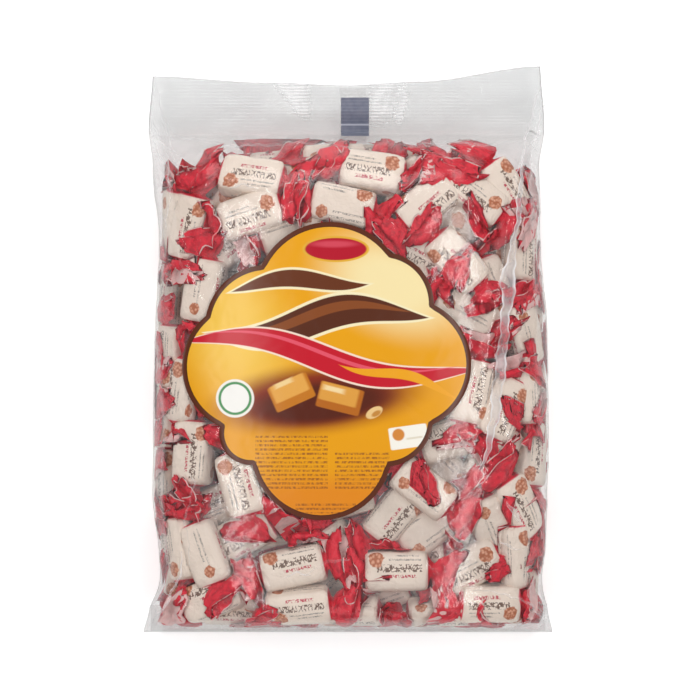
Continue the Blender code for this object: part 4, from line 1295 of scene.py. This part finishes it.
def markMaterial():
    # dark blue ink on film
    look, add = newMaterial("dark_ink")
    place = add("TexCoord").outputs["Object"]
    grain = add("TexNoise", {"Vector": place}, {"Scale": 400.0})
    tone = add("Mix", {0: grain}, {6: linear(markInk["dark"]), 7: linear(markInk["light"])}, data_type="RGBA")
    parts = add("SeparateXYZ", {"Vector": place})
    rib = crimpRibs(add, parts.outputs[1])
    ribWearAndGlare = add("MapRange", {"Value": rib}, {"From Min": 0.3, "From Max": 1.0, "To Max": 0.16})
    height = fromPhoto(0, markInk["line"])[1] * mm
    line = add("Math", {0: parts.outputs[1]}, {1: height, 2: 0.0004}, operation="COMPARE")
    pale = add("Math", {0: line, 1: ribWearAndGlare}, operation="MAXIMUM")
    ribbed = add("Mix", {0: pale, 6: tone.outputs[2]}, {7: linear(markInk["ribWearAndGlare"])}, data_type="RGBA")
    shader = add("BsdfPrincipled", {"Base Color": ribbed.outputs[2]}, {"Roughness": 0.3, "IOR": 1.5})
    add("OutputMaterial", {"Surface": shader})
    return look


seamLook = filmMaterial("lapped_film", 0.12, 0.0, False)
finLook = filmMaterial("crimped_film", 0.25, 0.0, False)
pieces = [  # with the slot of the solid that each stands for a part of
    (sweets, paperMaterial(), "clear_film"), (filmPiece, filmMaterial(), "clear_film"),
    (labelPiece, labelMaterial(), "label_print"), (markPiece, markMaterial(), "mark_print"),
    (seamPiece, seamLook, "clear_film"), (finPiece, finLook, "clear_film"),
    (pleatAndGlintPiece, pleatAndGlintMaterial(), "clear_film"),
]
for piece, look, slot in pieces:
    piece.data.materials.append(look)
    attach(piece, "root")
note("materials made")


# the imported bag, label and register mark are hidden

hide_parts("bag")
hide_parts("label")
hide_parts("register_mark")


# floor, light and camera

studio = {
    "distance": 4000.0, "aimHeight": 26.0, "sensor": 36.0, "photoWide": 700, "aim": (350, 350),
    "world": 0.2, "floor": "#FFFFFF", "floorSize": 4.0, "floorHeight": -0.0004,
    "underlight": 0.36,  # how much the white floor glows, as a lit sheet does
    "lamps": [  # name, place and size in metres, and power
        ("left_softbox", (-0.8, 0.0, 1.7), (1.5, 0.22), 10.0),
        ("right_softbox", (0.8, 0.0, 1.7), (1.5, 0.22), 10.0),
        ("top_softbox", (0.0, 1.5, 1.3), (1.8, 0.8), 16.0),
        ("low_softbox", (0.0, -1.5, 1.3), (1.8, 0.8), 4.5),
    ],
}


def buildStudio():
    deselectAll()
    bpy.ops.mesh.primitive_plane_add(size=studio["floorSize"], location=(0, 0, studio["floorHeight"]))
    floor = bpy.context.object
    floor.name = "floor"
    matt, add = newMaterial("white_paper_floor")
    shader = add("BsdfPrincipled", None, {
        "Base Color": linear(studio["floor"]), "Roughness": 0.9,
        "Emission Color": (1, 1, 1, 1), "Emission Strength": studio["underlight"],
    })
    add("OutputMaterial", {"Surface": shader})
    floor.data.materials.append(matt)
    world = bpy.data.worlds.new("studio")
    world.use_nodes = True
    sky = world.node_tree.nodes["Background"]
    sky.inputs["Color"].default_value = (1, 1, 1, 1)
    sky.inputs["Strength"].default_value = studio["world"]
    bpy.context.scene.world = world
    for name, place, size, power in studio["lamps"]:
        lamp = bpy.data.lights.new(name, "AREA")
        lamp.shape = "RECTANGLE"
        lamp.size, lamp.size_y = size
        lamp.energy = power
        lit = bpy.data.objects.new(name, lamp)
        bpy.context.scene.collection.objects.link(lit)
        lit.location = place
        lit.rotation_euler = (-Vector(place)).to_track_quat("-Z", "Y").to_euler()
    eye = bpy.data.cameras.new("photo_camera")
    camera = bpy.data.objects.new("photo_camera", eye)
    bpy.context.scene.collection.objects.link(camera)
    x, y = fromPhoto(*studio["aim"])
    camera.location = Vector((x, y, studio["distance"] + studio["aimHeight"])) * mm
    eye.sensor_width = studio["sensor"]
    eye.lens = studio["sensor"] * studio["distance"] / (studio["photoWide"] * pixel)
    eye.clip_end = 50.0
    bpy.context.scene.camera = camera
    bpy.context.scene.view_settings.view_transform = "Standard"


buildStudio()
note("studio set")
